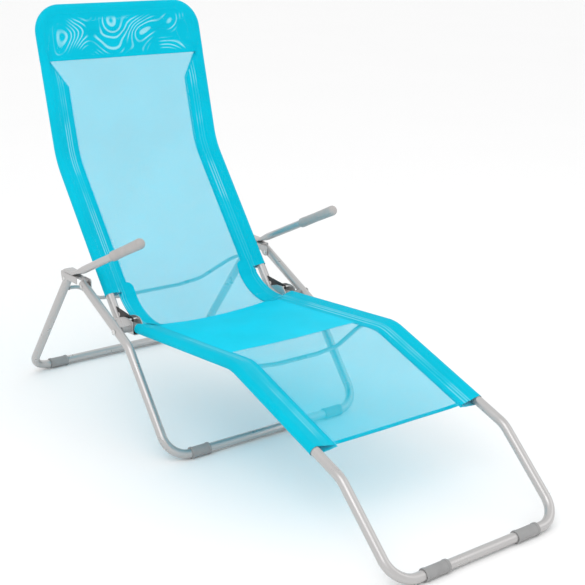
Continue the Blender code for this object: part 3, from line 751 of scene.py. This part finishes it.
def make_bracket(node, sign):
    """A folded cover over the legs' tops; its inner side runs on forwards to the front leg's rivet."""
    x = sign * LEG_X
    low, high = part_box(node)
    top = high.z
    half = TUBE_R + GAP + SHEET
    outline = [(COVER_FRONT, 0.0170), (0.455, 0.0170), (0.464, 0.0255), (0.469, 0.0282), (0.474, 0.0288),
               (0.480, 0.0275), (0.484, 0.0245), (0.487, 0.0165), (high.y, 0.0100)]
    stations = []
    for y, drop in outline:
        side = [(-half, top - drop), (-half, top - (drop + FOLD_R) / 2), (-half, top - FOLD_R)]
        side += arc((-half + FOLD_R, top - FOLD_R), FOLD_R, 180, 90, 5)[1:]
        across = side + [(-w, z) for w, z in reversed(side)]
        stations.append([Vector((x + w, y, z)) for w, z in across])
    cover = folded_sheet(f"{node}_cover", stations)
    strap_end = COVER_FRONT + 0.002
    drops = [(strap_end, 0.0008), (low.y + 0.003, 0.0008), (low.y, 0.004), (low.y, 0.0250),
             (low.y + 0.003, 0.0273), (0.390, 0.0285), (0.3965, 0.0272), (0.400, 0.0255),
             (0.408, 0.0170), (strap_end, 0.0170)]
    outline = [(y, top - drop) for y, drop in reversed(drops)]
    strap = plate(f"{node}_strap", outline, x - sign * (half - SHEET / 2), SHEET / 2, "silver_paint")
    return joined(cover, strap, f"{node}_sheet")


def arm_section(x, centre, direction, flatness):
    """A section across the arm tube: round at flatness 0, pressed flat at flatness 1."""
    half_width = ARM_R + (PRESSED_WIDTH / 2 - ARM_R) * flatness
    half_height = ARM_R + (PRESSED_HEIGHT / 2 - ARM_R) * flatness
    power = 1.0 - 0.5 * flatness
    points = []
    for i in range(32):
        angle = 2 * math.pi * i / 32
        across, up = math.cos(angle), math.sin(angle)
        across = math.copysign(abs(across) ** power, across) * half_width
        up = math.copysign(abs(up) ** power, up) * half_height
        points.append(Vector((x + across, centre[0] - up * direction.y, centre[1] + up * direction.x)))
    return points


def arm_stations():
    """The arm tube's stations from its rear end: (centre, direction, flatness)."""
    level = Vector((-1.0, 0.0))
    slope = (Vector(ARM_TIP) - Vector(ARM_BEND)).normalized()
    stations = [(toward(ARM_REAR, ARM_BEND, d), level, 1.0) for d in (0.0, 0.015, 0.030)]
    stations.append((ARM_BEND, (slope + level).normalized(), 1.0))
    for i in range(1, 13):
        run = SWELL_RUN * i / 12
        stations.append((toward(ARM_BEND, ARM_TIP, run), slope, 1 - smooth_step(0.0, SWELL_RUN, run)))
    stations.append((ARM_TIP, slope, 0.0))
    return stations


def grip_profile():
    """The grip's (radius, height) profile from its rounded end down to the rim on the arm tube."""
    r, length, nose = GRIP_R, GRIP_LENGTH, 0.011
    shape = [(0.0, length)]
    shape += [(r * math.sin(a), length - nose + nose * math.cos(a)) for a in (0.25, 0.5, 0.75, 1.0, 1.3)]
    shape += [(r, length - nose), (r - 0.0004, length * 0.72), (r - 0.0009, length * 0.45),
              (r - 0.0006, length * 0.20), (r - 0.0002, 0.010), (r - 0.0004, 0.0025), (r - 0.0012, 0.0006)]
    return shape + [(ARM_R + 0.0010, 0.0), (ARM_R + 0.0003, 0.0004), (ARM_R + 0.0003, 0.004)]


def make_arm_rests():
    slope = (Vector(ARM_TIP) - Vector(ARM_BEND)).normalized()
    half = TUBE_R + 2 * GAP + SHEET
    short = (half + TUBE_R + GAP) / 2
    for side, sign in SIDES.items():
        x = sign * LEG_X
        node = f"arm_bracket_{side}"
        stands_for(make_bracket(node, sign), node)
        build = Build()
        rows = build.rows([arm_section(x, c, d, f) for c, d, f in arm_stations()], closed=True)
        build.fan(rows[0], side_point(x, ARM_REAR))
        build.fan(rows[-1], side_point(x, ARM_TIP))
        node = f"arm_tube_{side}"
        stands_for(build.finish(f"{node}_metal", ["silver_paint"]), node)
        node = f"arm_grip_{side}"
        start = side_point(x, toward(ARM_TIP, ARM_BEND, GRIP_HOLD))
        axis = Vector((0, slope.x, slope.y))
        stands_for(lathe(f"{node}_sleeve", grip_profile(), start, axis, 36, "grained_grip"), node)
        rivet(f"bracket_rivet_{side}", FRONT_RIVET, x - sign * (half - GAP - TUBE_R) / 2, RIVET_R, short,
              0.0043, HEAD_HEIGHT)
        rivet(f"rear_leg_pin_{side}", REAR_PIVOT, x, RIVET_R, half, 0.0043, HEAD_HEIGHT)


# Floor caps

def cap_section(x, place, radius):
    """A round section of a floor cap, cut flat on the floor."""
    angles = [2 * math.pi * i / CAP_SIDES for i in range(CAP_SIDES)]
    return [Vector((x, place[0] + radius * math.cos(a), max(place[1] + radius * math.sin(a), 0.0)))
            for a in angles]


def make_caps():
    """Snap-on floor caps: raised collars at both ends, a shallow waist and a flat sole."""
    bars = {"front_leg_cap": FRONT_BAR, "rear_leg_cap": REAR_BAR, "foot_bar_cap": FOOT_BAR}
    for name, place in bars.items():
        for side in SIDES:
            node = f"{name}_{side}"
            low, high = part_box(node)
            span = high.x - low.x
            radius = high.z - place[1]
            shape = [(0.0, radius - 0.0008), (0.0006, radius - 0.0002), (0.0014, radius), (0.0060, radius),
                     (0.0068, radius - 0.0009), (span / 2, radius - 0.0010)]
            shape += [(span - x, r) for x, r in reversed(shape[:-1])]
            bores = [ring(side_point(x, place), SIDEWAYS, Vector((0, 1, 0)), TUBE_R + GAP, CAP_SIDES)
                     for x in (low.x, high.x)]
            rows = [bores[0]] + [cap_section(low.x + x, place, r) for x, r in shape] + [bores[1], bores[0]]
            build = Build()
            build.rows(rows, closed=True)
            stands_for(build.finish(f"{node}_moulding", ["grained_grey"], sharp=30), node)


# The sling

SEAM_X = 0.180
GUSSET_X, GUSSET_RUN = 0.2210, 0.066
SLEEVE_R = 0.0122
HEM_LAYER = 0.0012
POCKET_LAP = 0.016
POCKET_R = 0.0126
CROTCH_R = 0.152
STATION_STEP = 0.0065
HEM_FROM_KNEE, SEAT_SLEEVE_END, BACK_SLEEVE_START = 0.298, -0.0135, 0.0677
SEAT_LAYER_FRONT, SEAT_LAYER_REAR = -0.09, (0.240, 0.259)
SAG_AT_HINGE, SAG_RUN, SAG_ALONG = 0.0160, 0.11, 0.0040
EDGE_X, EDGE_TAPER, EDGE_HOLLOW = 0.2135, 0.0075, 0.0012
TAPE_END_R = 0.018
PANEL_COLUMNS = 44
STITCH_LIFT = 0.0003
# Distances past the seam at which the painted highlight streaks run on the sleeves.
HIGHLIGHT_LINES = (0.012, 0.0195, 0.026)
BAND_COUNT = 24


def crotch():
    """Where the seat's and the back's lines meet, as (y, z)."""
    seat = (Vector(SEAT_PIVOT) - Vector(KNEE)).normalized()
    back = (Vector(BACK_BEND) - Vector(BACK_FOOT)).normalized()
    gap = Vector(BACK_FOOT) - Vector(SEAT_PIVOT)
    share = (gap.x * back.y - gap.y * back.x) / (seat.x * back.y - seat.y * back.x)
    return tuple(Vector(SEAT_PIVOT) + seat * share)


class Sling:
    """The cloth's line from the leg hem to the head pocket, and what its sections are made of."""

    def __init__(self, cloth):
        self.cloth = cloth
        corner = crotch()
        hem = toward(KNEE, KINK, HEM_FROM_KNEE)
        pocket = toward(BACK_TOP, BACK_BEND, cloth.pocket_depth - POCKET_LAP)
        path = fillet_path([side_point(0.0, p) for p in (hem, KNEE, corner, BACK_BEND, pocket)],
                           [KNEE_R, CROTCH_R, BACK_BEND_R], math.radians(2))
        self.length = sum((b - a).length for a, b in zip(path, path[1:]))
        self.path = path
        self.seat_end = self.distance_of(along_seat(SEAT_SLEEVE_END, 0.0))
        self.back_start = self.distance_of(toward(BACK_FOOT, BACK_BEND, BACK_SLEEVE_START))
        self.seat_front = self.distance_of((SEAT_LAYER_FRONT, seat_height(SEAT_LAYER_FRONT)))
        self.seat_rear = self.distance_of(SEAT_LAYER_REAR)
        self.pocket = round(self.length - POCKET_LAP, 6)
        self.gusset = self.pocket - GUSSET_RUN
        keep = [self.seat_end, self.back_start, self.seat_front, self.seat_rear, self.gusset,
                cloth.hem_width, self.pocket]
        self.stations, self.points = resampled(path, STATION_STEP, [round(k, 6) for k in keep])
        self.directions = tangents(self.points)

    def distance_of(self, place):
        """Distance along the line of the point nearest to a (y, z) place."""
        place = side_point(0.0, place)
        best, at = 1e9, 0.0
        run = 0.0
        for a, b in zip(self.path, self.path[1:]):
            step = b - a
            share = min(1.0, max(0.0, (place - a).dot(step) / max(step.length_squared, 1e-12)))
            gap = (place - a.lerp(b, share)).length
            if gap < best:
                best, at = gap, run + step.length * share
            run += step.length
        return round(at, 6)

    def sag(self, s):
        """How far the middle hangs below the tubes' line, at s along the cloth."""
        middle = (self.seat_end + self.back_start) / 2
        bump = math.exp(-((s - middle) / SAG_RUN) ** 2)
        calm = smooth_step(0.0, 0.10, s) * (1 - smooth_step(self.length - 0.10, self.length, s))
        return SAG_AT_HINGE * bump + SAG_ALONG * calm

    def seam_x(self, s):
        """Half width of the single layer: it widens just under the head pocket."""
        share = min(1.0, max(0.0, (s - self.gusset) / (self.pocket - self.gusset)))
        return SEAM_X + (GUSSET_X - SEAM_X) * share

    def edge_x(self, s):
        """Half width of the cloth where it bridges the hinge: a shallow concave curve."""
        share = (s - self.seat_end) / (self.back_start - self.seat_end)
        share = min(1.0, max(0.0, share))
        return EDGE_X - EDGE_TAPER * share - EDGE_HOLLOW * math.sin(math.pi * share)

    def place(self, index, x, w, along=0.0):
        """The point x across and w above the line at a station, moved along the cloth."""
        tangent = self.directions[index]
        normal = Vector((0, -tangent.z, tangent.y))
        return self.points[index] + Vector((x, 0, 0)) + normal * w + tangent * along

    def dip(self, s, x):
        """Sag and a trace of unevenness at a point of the single layer."""
        half = self.seam_x(s)
        half += (self.edge_x(s) - half) * self.bridged(s)
        share = min(1.0, abs(x) / half)
        wave = 0.0008 * noise.noise(Vector((x * 9, s * 7, 0.3))) * (1 - share ** 4)
        return -self.sag(s) * (1 - share * share) + wave

    def bridged(self, s):
        """1 where the cloth bridges the hinge, 0 where sleeves hold it, easing in between."""
        ease = 0.020
        return smooth_step(self.seat_end, self.seat_end + ease, s) * (
            1 - smooth_step(self.back_start - ease, self.back_start, s))

    def between(self, s):
        """The station below s and the share of the way to the next."""
        index = max(i for i, station in enumerate(self.stations[:-1]) if station <= max(s, 0.0))
        return index, (s - self.stations[index]) / (self.stations[index + 1] - self.stations[index])

    def indices(self, low, high):
        return [i for i, s in enumerate(self.stations) if low - 1e-6 <= s <= high + 1e-6]


def wrap_section(seam, sign, ripple=0.0):
    """From the seam over the tube, round it and back under to the seam, as (x, w) points."""
    gap = SEAT_X - seam
    start = 180 - math.degrees(math.acos(min(0.98, SLEEVE_R / gap)))
    round_part = arc((SEAT_X, 0.0), SLEEVE_R, start, -start, 22)
    first, last = Vector((seam, 0.0)), Vector((seam - 0.006, -HEM_LAYER))
    over = [first.lerp(Vector(round_part[0]), i / 9) for i in range(9)]
    under = [Vector(round_part[-1]).lerp(last, i / 8) for i in range(1, 9)]
    points = []
    for i, p in enumerate(over + [Vector(p) for p in round_part] + under):
        on_flat = (i < 9 or i >= 31) and gap > 0.03
        wave = ripple * math.sin(i * 2.1) * math.sin(math.pi * (i % 31) / 9) if on_flat else 0.0
        points.append((sign * p.x, p.y + wave))
    return points


def hem_section(sling, s, sign):
    """The bridging edge: out to the cut edge, folded and back under."""
    edge = sling.edge_x(s)
    inner = SEAM_X - sling.cloth.bridge_hem / 2
    outward = [(SEAM_X + (edge - SEAM_X) * i / 4, 0.0) for i in range(5)]
    fold = [(edge + 0.0007, -HEM_LAYER * 0.5)]
    under = [(edge + (inner - edge) * i / 8, -HEM_LAYER) for i in range(9)]
    return [(sign * x, w + sling.dip(s, x)) for x, w in outward + fold + under]


def flap_rows(sling, sign):
    """A doubled tape on the hem's upper side; its ends lap over the sleeves and are rounded."""
    cloth = sling.cloth
    low, high = sling.seat_end - cloth.lap_seat, sling.back_start + cloth.lap_back
    columns, count = 10, 64
    rows, maps = [], []
    for k in range(count + 1):
        s = low + (high - low) * k / count
        past = max(0.0, TAPE_END_R - min(s - low, high - s))
        narrowing = TAPE_END_R - math.sqrt(max(0.0, TAPE_END_R ** 2 - past ** 2))
        inner = SEAM_X - cloth.bridge_hem / 2 + narrowing
        outer = min(sling.edge_x(s), 0.200 + 0.014 * sling.bridged(s)) - narrowing * 0.6
        near_sleeve = math.exp(-((s - sling.seat_end) / 0.03) ** 2)
        index, share = sling.between(s)
        row, places = [], []
        for c in range(columns + 1):
            x = inner + (outer - inner) * c / columns
            over = (1 - sling.bridged(s)) * max(0.0, x - SEAM_X) * 0.26
            crinkle = 0.0011 * noise.noise(Vector((x * 40, s * 95, sign))) * near_sleeve
            w = sling.dip(s, x) + over + 0.0013 + crinkle
            row.append(sling.place(index, sign * x, w).lerp(sling.place(index + 1, sign * x, w), share))
            places.append((sign * x, s))
        rows.append(row)
        maps.append(places)
    return rows, maps


def add_strip(build, sling, indices, section, tab=0.0):
    """A strip of cloth through the sections at the given stations, with its map in metres."""
    rows, maps = [], []
    for i in indices:
        s = sling.stations[i]
        points = section(s)
        run = 0.0
        row, places = [], []
        for k, (x, w) in enumerate(points):
            if k:
                run += math.hypot(x - points[k - 1][0], w - points[k - 1][1])
            share = smooth_step(len(points) * 0.65, len(points) - 1, k)
            shift = -tab * share if i == indices[0] else 0.0
            row.append(sling.place(i, x, w, shift))
            places.append((points[0][0] + math.copysign(run, points[0][0]), s + shift))
        rows.append(row)
        maps.append(places)
    build.rows(rows, maps, material=1)


def add_panel(build, sling, indices, material_index, reach=1.0, below=0.0):
    """A full-width layer of cloth between the seams."""
    rows, maps = [], []
    for i in indices:
        s = sling.stations[i]
        half = sling.seam_x(s) * reach
        xs = [half * (2 * k / PANEL_COLUMNS - 1) for k in range(PANEL_COLUMNS + 1)]
        rows.append([sling.place(i, x, sling.dip(s, x) - below * (1 - (x / half) ** 8)) for x in xs])
        maps.append([(x, s) for x in xs])
    build.rows(rows, maps, material=material_index)


def add_pocket(build, sling):
    """The head pocket: a bag over the back frame's top, tight on the tube and slack between."""
    depth = sling.cloth.pocket_depth
    down = (side_point(0, BACK_BEND) - side_point(0, BACK_TOP)).normalized()
    normal = Vector((0, down.z, -down.y))
    heights = [-POCKET_R + (HEAD_CORNER_R + POCKET_R) * (1 - math.cos(math.pi / 2 * i / 16))
               for i in range(17)]
    heights += [HEAD_CORNER_R + (depth - HEAD_CORNER_R) * i / 12 for i in range(1, 13)]
    columns = 72
    for face_sign in (1, -1):
        rows, maps = [], []
        for h in heights:
            reach = HEAD_CORNER_R + POCKET_R
            bend = math.sqrt(max(0.0, reach ** 2 - (HEAD_CORNER_R - min(h, HEAD_CORNER_R)) ** 2))
            half = SEAT_X - HEAD_CORNER_R + bend
            row, places = [], []
            for k in range(columns + 1):
                x = half * math.sin(math.pi * (k / columns - 0.5))
                thick = pocket_thickness(x, h, face_sign, depth)
                row.append(side_point(x, BACK_TOP) + down * h + normal * (face_sign * thick))
                places.append((x, sling.pocket + depth - face_sign * h))
            rows.append(row)
            maps.append(places)
        build.rows(rows, maps, material=2)


def pocket_thickness(x, h, face_sign, depth):
    """Half the pocket's thickness at x across and h below the top bar's centreline."""
    straight = SEAT_X - HEAD_CORNER_R
    if h > HEAD_CORNER_R:
        inset = SEAT_X + POCKET_R - abs(x)
    elif abs(x) > straight:
        inset = HEAD_CORNER_R + POCKET_R - math.hypot(abs(x) - straight, HEAD_CORNER_R - h)
    else:
        inset = h + POCKET_R
    inset = max(0.0, inset)
    if inset < POCKET_R:
        return math.sqrt(max(0.0, POCKET_R ** 2 - (POCKET_R - inset) ** 2))
    low = smooth_step(0.035, depth, h)
    near_edge = smooth_step(depth - 0.03, depth, h) * smooth_step(POCKET_R, 0.035, inset)
    thick = POCKET_R * math.exp(-(inset - POCKET_R) / (0.060 - 0.035 * low))
    thick = thick * (1 - near_edge) + HEM_LAYER * near_edge
    slack = 0.0030 * noise.noise(Vector((x * 16, h * 26, face_sign * 2.0)))
    thick += slack * smooth_step(POCKET_R, 0.04, inset) * (1 - near_edge) * (1 - low * 0.5)
    return max(thick, HEM_LAYER * 0.6)


def make_sling():
    cloth = bpy.context.scene.lounger_cloth
    sling = Sling(cloth)
    build = Build()
    add_panel(build, sling, range(len(sling.stations)), 0)
    seat = sling.indices(0.0, sling.seat_end)
    back = sling.indices(sling.back_start, sling.length)
    bridge = sling.indices(sling.seat_end, sling.back_start)
    for sign in SIDES.values():
        def wrapped(s, sign=sign):
            return wrap_section(sling.seam_x(s), sign, 0.0006)

        def hemmed(s, sign=sign):
            return hem_section(sling, s, sign)

        add_strip(build, sling, seat, wrapped, tab=0.005)
        add_strip(build, sling, back, wrapped)
        add_strip(build, sling, bridge, hemmed)
        build.rows(*flap_rows(sling, sign), material=1)
    add_panel(build, sling, sling.indices(sling.seat_front, sling.seat_rear), 3, below=-0.0012)
    add_panel(build, sling, sling.indices(0.0, cloth.hem_width), 1, 0.97, HEM_LAYER)
    add_pocket(build, sling)
    names = ("open_mesh", "sleeve_mesh", "head_mesh", "seat_mesh")
    obj = build.finish("mesh_sling", names, merge=0.00001, outward=False, sharp=60)
    bend_with_back(obj)
    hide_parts("seat_sling", "back_sling")
    return obj, sling


def bend_with_back(obj):
    """Bakes the object's placement into its mesh."""
    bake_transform(obj)


# Properties

def colour_setting(name, description, value):
    return bpy.props.FloatVectorProperty(name=name, description=description, subtype="COLOR",
                                         default=value, min=0, max=1)


def length_setting(name, description, value):
    return bpy.props.FloatProperty(name=name, description=description, unit="LENGTH",
                                   default=value, min=0, max=1, precision=5)


def share_setting(name, description, value):
    return bpy.props.FloatProperty(name=name, description=description, subtype="FACTOR",
                                   default=value, min=0.1, max=0.98)


def plain_setting(name, description, value):
    return bpy.props.FloatProperty(name=name, description=description, default=value, min=0, max=1000)


class LoungerFinish(bpy.types.PropertyGroup):
    silver: colour_setting("Silver", "Powder coat of the tubes and sheet", (0.50, 0.49, 0.485))
    zinc: colour_setting("Zinc", "Rivets and pins", (0.72, 0.72, 0.71))
    black: colour_setting("Black", "Hinge gussets", (0.022, 0.020, 0.020))
    cap_grey: colour_setting("Cap grey", "Floor caps, plugs and spacers", (0.30, 0.30, 0.30))
    grip_grey: colour_setting("Grip grey", "Arm grips", (0.42, 0.40, 0.39))


class LoungerCloth(bpy.types.PropertyGroup):
    cyan: colour_setting("Cyan", "Colour of the coated threads", (0.0, 0.62, 0.83))
    # Painted light: the colour of the painted highlight streaks on the sleeves and the painted moiré glints
    # on the head pocket.
    glint: colour_setting("Glint", "Pale bands and pulls in doubled cloth", (0.42, 0.80, 0.88))
    thread_pitch: length_setting("Thread pitch", "Distance between threads", 0.0014)
    open_share: share_setting("Open mesh", "Thread width as a share of the pitch", 0.42)
    sleeve_share: share_setting("Sleeves", "The same, in sleeves and hems", 0.80)
    dense_share: share_setting("Seat layer", "The same, in the layer under the sitter", 0.93)
    hem_width: length_setting("Leg hem", "Width of the hem under the calves", 0.010)
    bridge_hem: length_setting("Hinge hem", "Width of the hems beside the hinges", 0.044)
    lap_seat: length_setting("Lap on the seat", "Hem tape past the seat sleeve's end", 0.010)
    lap_back: length_setting("Lap on the back", "Hem tape past the back sleeve's end", 0.026)
    pocket_depth: length_setting("Head pocket", "Depth of the pocket over the top", 0.129)
    stitch_pitch: length_setting("Stitch pitch", "Distance between stitches", 0.0042)
    stitch_length: length_setting("Stitch length", "Length of a stitch that shows", 0.0031)
    stitch_radius: length_setting("Stitch radius", "Radius of the thread", 0.00035)


class LoungerStage(bpy.types.PropertyGroup):
    floor: colour_setting("Floor", "Colour of the floor", (0.96, 0.96, 0.96))
    lens: plain_setting("Lens", "Focal length in millimetres on a 36 mm sensor", 77.4)
    sky: plain_setting("Sky", "Brightness of the light from all around", 1.0)
    key: plain_setting("Key light", "Power of the large soft light, in watts", 32.0)
    fill: plain_setting("Fill light", "Power of the second soft light, in watts", 8.0)


# Stitching

def stitch_tree():
    """Geometry nodes: a stitch on each step of the seam lines, laid along them."""
    tree = bpy.data.node_groups.new("seam_stitches", "GeometryNodeTree")
    face = tree.interface
    face.new_socket("Geometry", in_out="INPUT", socket_type="NodeSocketGeometry")
    kinds = {"Pitch": "Float", "Length": "Float", "Radius": "Float", "Thread": "Material"}
    sockets = {name: face.new_socket(name, in_out="INPUT", socket_type="NodeSocket" + kind).identifier
               for name, kind in kinds.items()}
    face.new_socket("Geometry", in_out="OUTPUT", socket_type="NodeSocketGeometry")
    given = put(tree, "NodeGroupInput").outputs
    lines = put(tree, "GeometryNodeMeshToCurve", {"Mesh": given["Geometry"]}).outputs[0]
    even = put(tree, "GeometryNodeResampleCurve", {"Curve": lines, "Length": given["Pitch"]}, mode="LENGTH")
    spindle = put(tree, "GeometryNodeMeshUVSphere", {"Segments": 6, "Rings": 4, "Radius": 1.0})
    half = sums(tree, "MULTIPLY", given["Length"], 0.5)
    inputs = {"X": given["Radius"], "Y": given["Radius"], "Z": half}
    size = put(tree, "ShaderNodeCombineXYZ", inputs).outputs[0]
    tangent = put(tree, "GeometryNodeInputTangent").outputs[0]
    turn = put(tree, "FunctionNodeAlignRotationToVector", {"Vector": tangent}, axis="Z").outputs[0]
    inputs = {"Points": even.outputs[0], "Instance": spindle.outputs["Mesh"], "Rotation": turn, "Scale": size}
    laid = put(tree, "GeometryNodeInstanceOnPoints", inputs).outputs[0]
    real = put(tree, "GeometryNodeRealizeInstances", {"Geometry": laid}).outputs[0]
    inputs = {"Geometry": real, "Material": given["Thread"]}
    coloured = put(tree, "GeometryNodeSetMaterial", inputs).outputs[0]
    put(tree, "NodeGroupOutput", {"Geometry": coloured})
    return tree, sockets


def seam_lines(sling):
    """Every sewn line as a list of points lying on the cloth's upper side."""
    stations = sling.stations
    seat = sling.indices(0.0, sling.seat_end)
    back = sling.indices(sling.back_start, sling.pocket - 0.004)
    bridge = sling.indices(sling.seat_end, sling.back_start)
    rows = [(run, sling.seam_x, inset) for inset in (0.003, 0.0075) for run in (seat, back)]
    rows += [(bridge, sling.edge_x, inset) for inset in (0.004, sling.cloth.bridge_hem - 0.003)]

    def on_cloth(i, x, sign=1):
        return sling.place(i, sign * x, sling.dip(stations[i], x) + STITCH_LIFT)

    lines = [[on_cloth(i, half(stations[i]) - inset, sign) for i in run]
             for sign in SIDES.values() for run, half, inset in rows]
    for s, reach in ((sling.cloth.hem_width * 0.75, 0.97), (sling.seat_front, 0.97),
                     (sling.seat_rear, 0.97), (sling.pocket + 0.0015, 0.99)):
        index = min(range(len(stations)), key=lambda i: abs(stations[i] - s))
        half = sling.seam_x(stations[index]) * reach
        lines.append([on_cloth(index, half * (k / 30 - 1)) for k in range(61)])
    return lines


def make_stitching(sling):
    cloth = bpy.context.scene.lounger_cloth
    mesh = bpy.data.meshes.new("sling_stitching")
    verts, edges = [], []
    for line in seam_lines(sling):
        edges += [(len(verts) + i, len(verts) + i + 1) for i in range(len(line) - 1)]
        verts += line
    mesh.from_pydata(verts, edges, [])
    obj = placed("sling_stitching", mesh)
    tree, sockets = stitch_tree()
    modifier = obj.modifiers.new("stitches", "NODES")
    modifier.node_group = tree
    values = {"Pitch": cloth.stitch_pitch, "Length": cloth.stitch_length, "Radius": cloth.stitch_radius,
              "Thread": material("sewing_thread")}
    for name, value in values.items():
        modifier[sockets[name]] = value
    applied(obj)
    if not obj.data.polygons:
        raise RuntimeError("the seam lines made no stitches")
    bend_with_back(obj)
    return obj


# Stage

FLOOR_REACH = 14.0
CAMERA_PLACE = (-1.6855, -2.2325, 1.2694)
CAMERA_WAY = (0.58625, 0.74986, -0.30663)
CAMERA_ROLL = math.radians(1.25)


def soft_light(name, place, size, power):
    light = bpy.data.lights.new(name, "AREA")
    light.size = size
    light.energy = power
    obj = placed(name, light)
    obj.location = place
    obj.rotation_mode = "QUATERNION"
    obj.rotation_quaternion = (Vector((0.0, 0.0, 0.35)) - obj.location).to_track_quat("-Z", "Y")


def make_stage():
    scene = bpy.context.scene
    stage = scene.lounger_stage
    build = Build()
    build.rows([[(-FLOOR_REACH, y, 0.0), (FLOOR_REACH, y, 0.0)] for y in (-FLOOR_REACH, FLOOR_REACH)])
    build.finish("floor", ["studio_floor"], outward=False)

    world = bpy.data.worlds.new("studio")
    world.use_nodes = True
    background = world.node_tree.nodes["Background"]
    background.inputs["Color"].default_value = (1.0, 1.0, 1.0, 1.0)
    background.inputs["Strength"].default_value = stage.sky
    scene.world = world
    soft_light("key_light", (-2.2, -1.6, 3.2), 2.4, stage.key)
    soft_light("fill_light", (2.6, -2.2, 2.2), 2.0, stage.fill)

    camera = bpy.data.cameras.new("camera")
    camera.lens = stage.lens
    camera.sensor_width = 36.0
    obj = placed("camera", camera)
    obj.location = CAMERA_PLACE
    forward = Vector(CAMERA_WAY).normalized()
    right = forward.cross(Vector((0, 0, 1))).normalized()
    tilted = right * math.cos(CAMERA_ROLL) + right.cross(forward) * math.sin(CAMERA_ROLL)
    obj.rotation_euler = Matrix((tilted, tilted.cross(forward), -forward)).transposed().to_euler()
    scene.camera = obj
    scene.view_settings.view_transform = "Standard"


# Operators and panel

class LOUNGER_OT_frames(bpy.types.Operator):
    """Make the four bent tube frames"""
    bl_idname = "lounger.frames"
    bl_label = "Tube frames"

    def execute(self, context):
        make_frames()
        return {"FINISHED"}


class LOUNGER_OT_rods(bpy.types.Operator):
    """Make the back brace and the seat spreader, with their welds"""
    bl_idname = "lounger.rods"
    bl_label = "Brace and spreader"

    def execute(self, context):
        make_rods()
        return {"FINISHED"}


class LOUNGER_OT_hinges(bpy.types.Operator):
    """Make the hinge channels, gussets, pins and rivets"""
    bl_idname = "lounger.hinges"
    bl_label = "Hinges"

    def execute(self, context):
        make_hinges()
        return {"FINISHED"}


class LOUNGER_OT_pivots(bpy.types.Operator):
    """Make the seat pivots and their spacers"""
    bl_idname = "lounger.pivots"
    bl_label = "Seat pivots"

    def execute(self, context):
        make_pivots()
        return {"FINISHED"}


class LOUNGER_OT_arm_rests(bpy.types.Operator):
    """Make the arm brackets, tubes, grips and rivets"""
    bl_idname = "lounger.arm_rests"
    bl_label = "Arm rests"

    def execute(self, context):
        make_arm_rests()
        return {"FINISHED"}


class LOUNGER_OT_caps(bpy.types.Operator):
    """Make the plastic caps on the floor bars"""
    bl_idname = "lounger.caps"
    bl_label = "Floor caps"

    def execute(self, context):
        make_caps()
        return {"FINISHED"}


class LOUNGER_OT_sling(bpy.types.Operator):
    """Make the mesh sling and its stitching"""
    bl_idname = "lounger.sling"
    bl_label = "Sling"

    def execute(self, context):
        obj, sling = make_sling()
        stitches = make_stitching(sling)
        return {"FINISHED"}


class LOUNGER_OT_stage(bpy.types.Operator):
    """Make the floor, the lights and the camera"""
    bl_idname = "lounger.stage"
    bl_label = "Stage"

    def execute(self, context):
        make_stage()
        return {"FINISHED"}


STEPS = (LOUNGER_OT_frames, LOUNGER_OT_rods, LOUNGER_OT_hinges, LOUNGER_OT_pivots, LOUNGER_OT_arm_rests,
         LOUNGER_OT_caps, LOUNGER_OT_sling, LOUNGER_OT_stage)
SETTINGS = {"lounger_finish": LoungerFinish, "lounger_cloth": LoungerCloth, "lounger_stage": LoungerStage}


class LOUNGER_PT_panel(bpy.types.Panel):
    """The lounger's settings and steps in the sidebar"""
    bl_idname = "LOUNGER_PT_panel"
    bl_label = "Sun lounger"
    bl_space_type = "VIEW_3D"
    bl_region_type = "UI"
    bl_category = "Lounger"

    def draw(self, context):
        for name, kind in SETTINGS.items():
            box = self.layout.box()
            box.label(text=name.replace("_", " ").capitalize())
            for prop in kind.__annotations__:
                box.prop(getattr(context.scene, name), prop)
        for step in STEPS:
            self.layout.operator(step.bl_idname)


def register():
    for kind in (*SETTINGS.values(), *STEPS, LOUNGER_PT_panel):
        bpy.utils.register_class(kind)
    for name, kind in SETTINGS.items():
        setattr(bpy.types.Scene, name, bpy.props.PointerProperty(type=kind))


def unregister():
    for name in SETTINGS:
        delattr(bpy.types.Scene, name)
    for kind in reversed((*SETTINGS.values(), *STEPS, LOUNGER_PT_panel)):
        bpy.utils.unregister_class(kind)


def main():
    register()
    for step in STEPS:
        group, name = step.bl_idname.split(".")
        getattr(getattr(bpy.ops, group), name)()


if __name__ == "__main__":
    main()
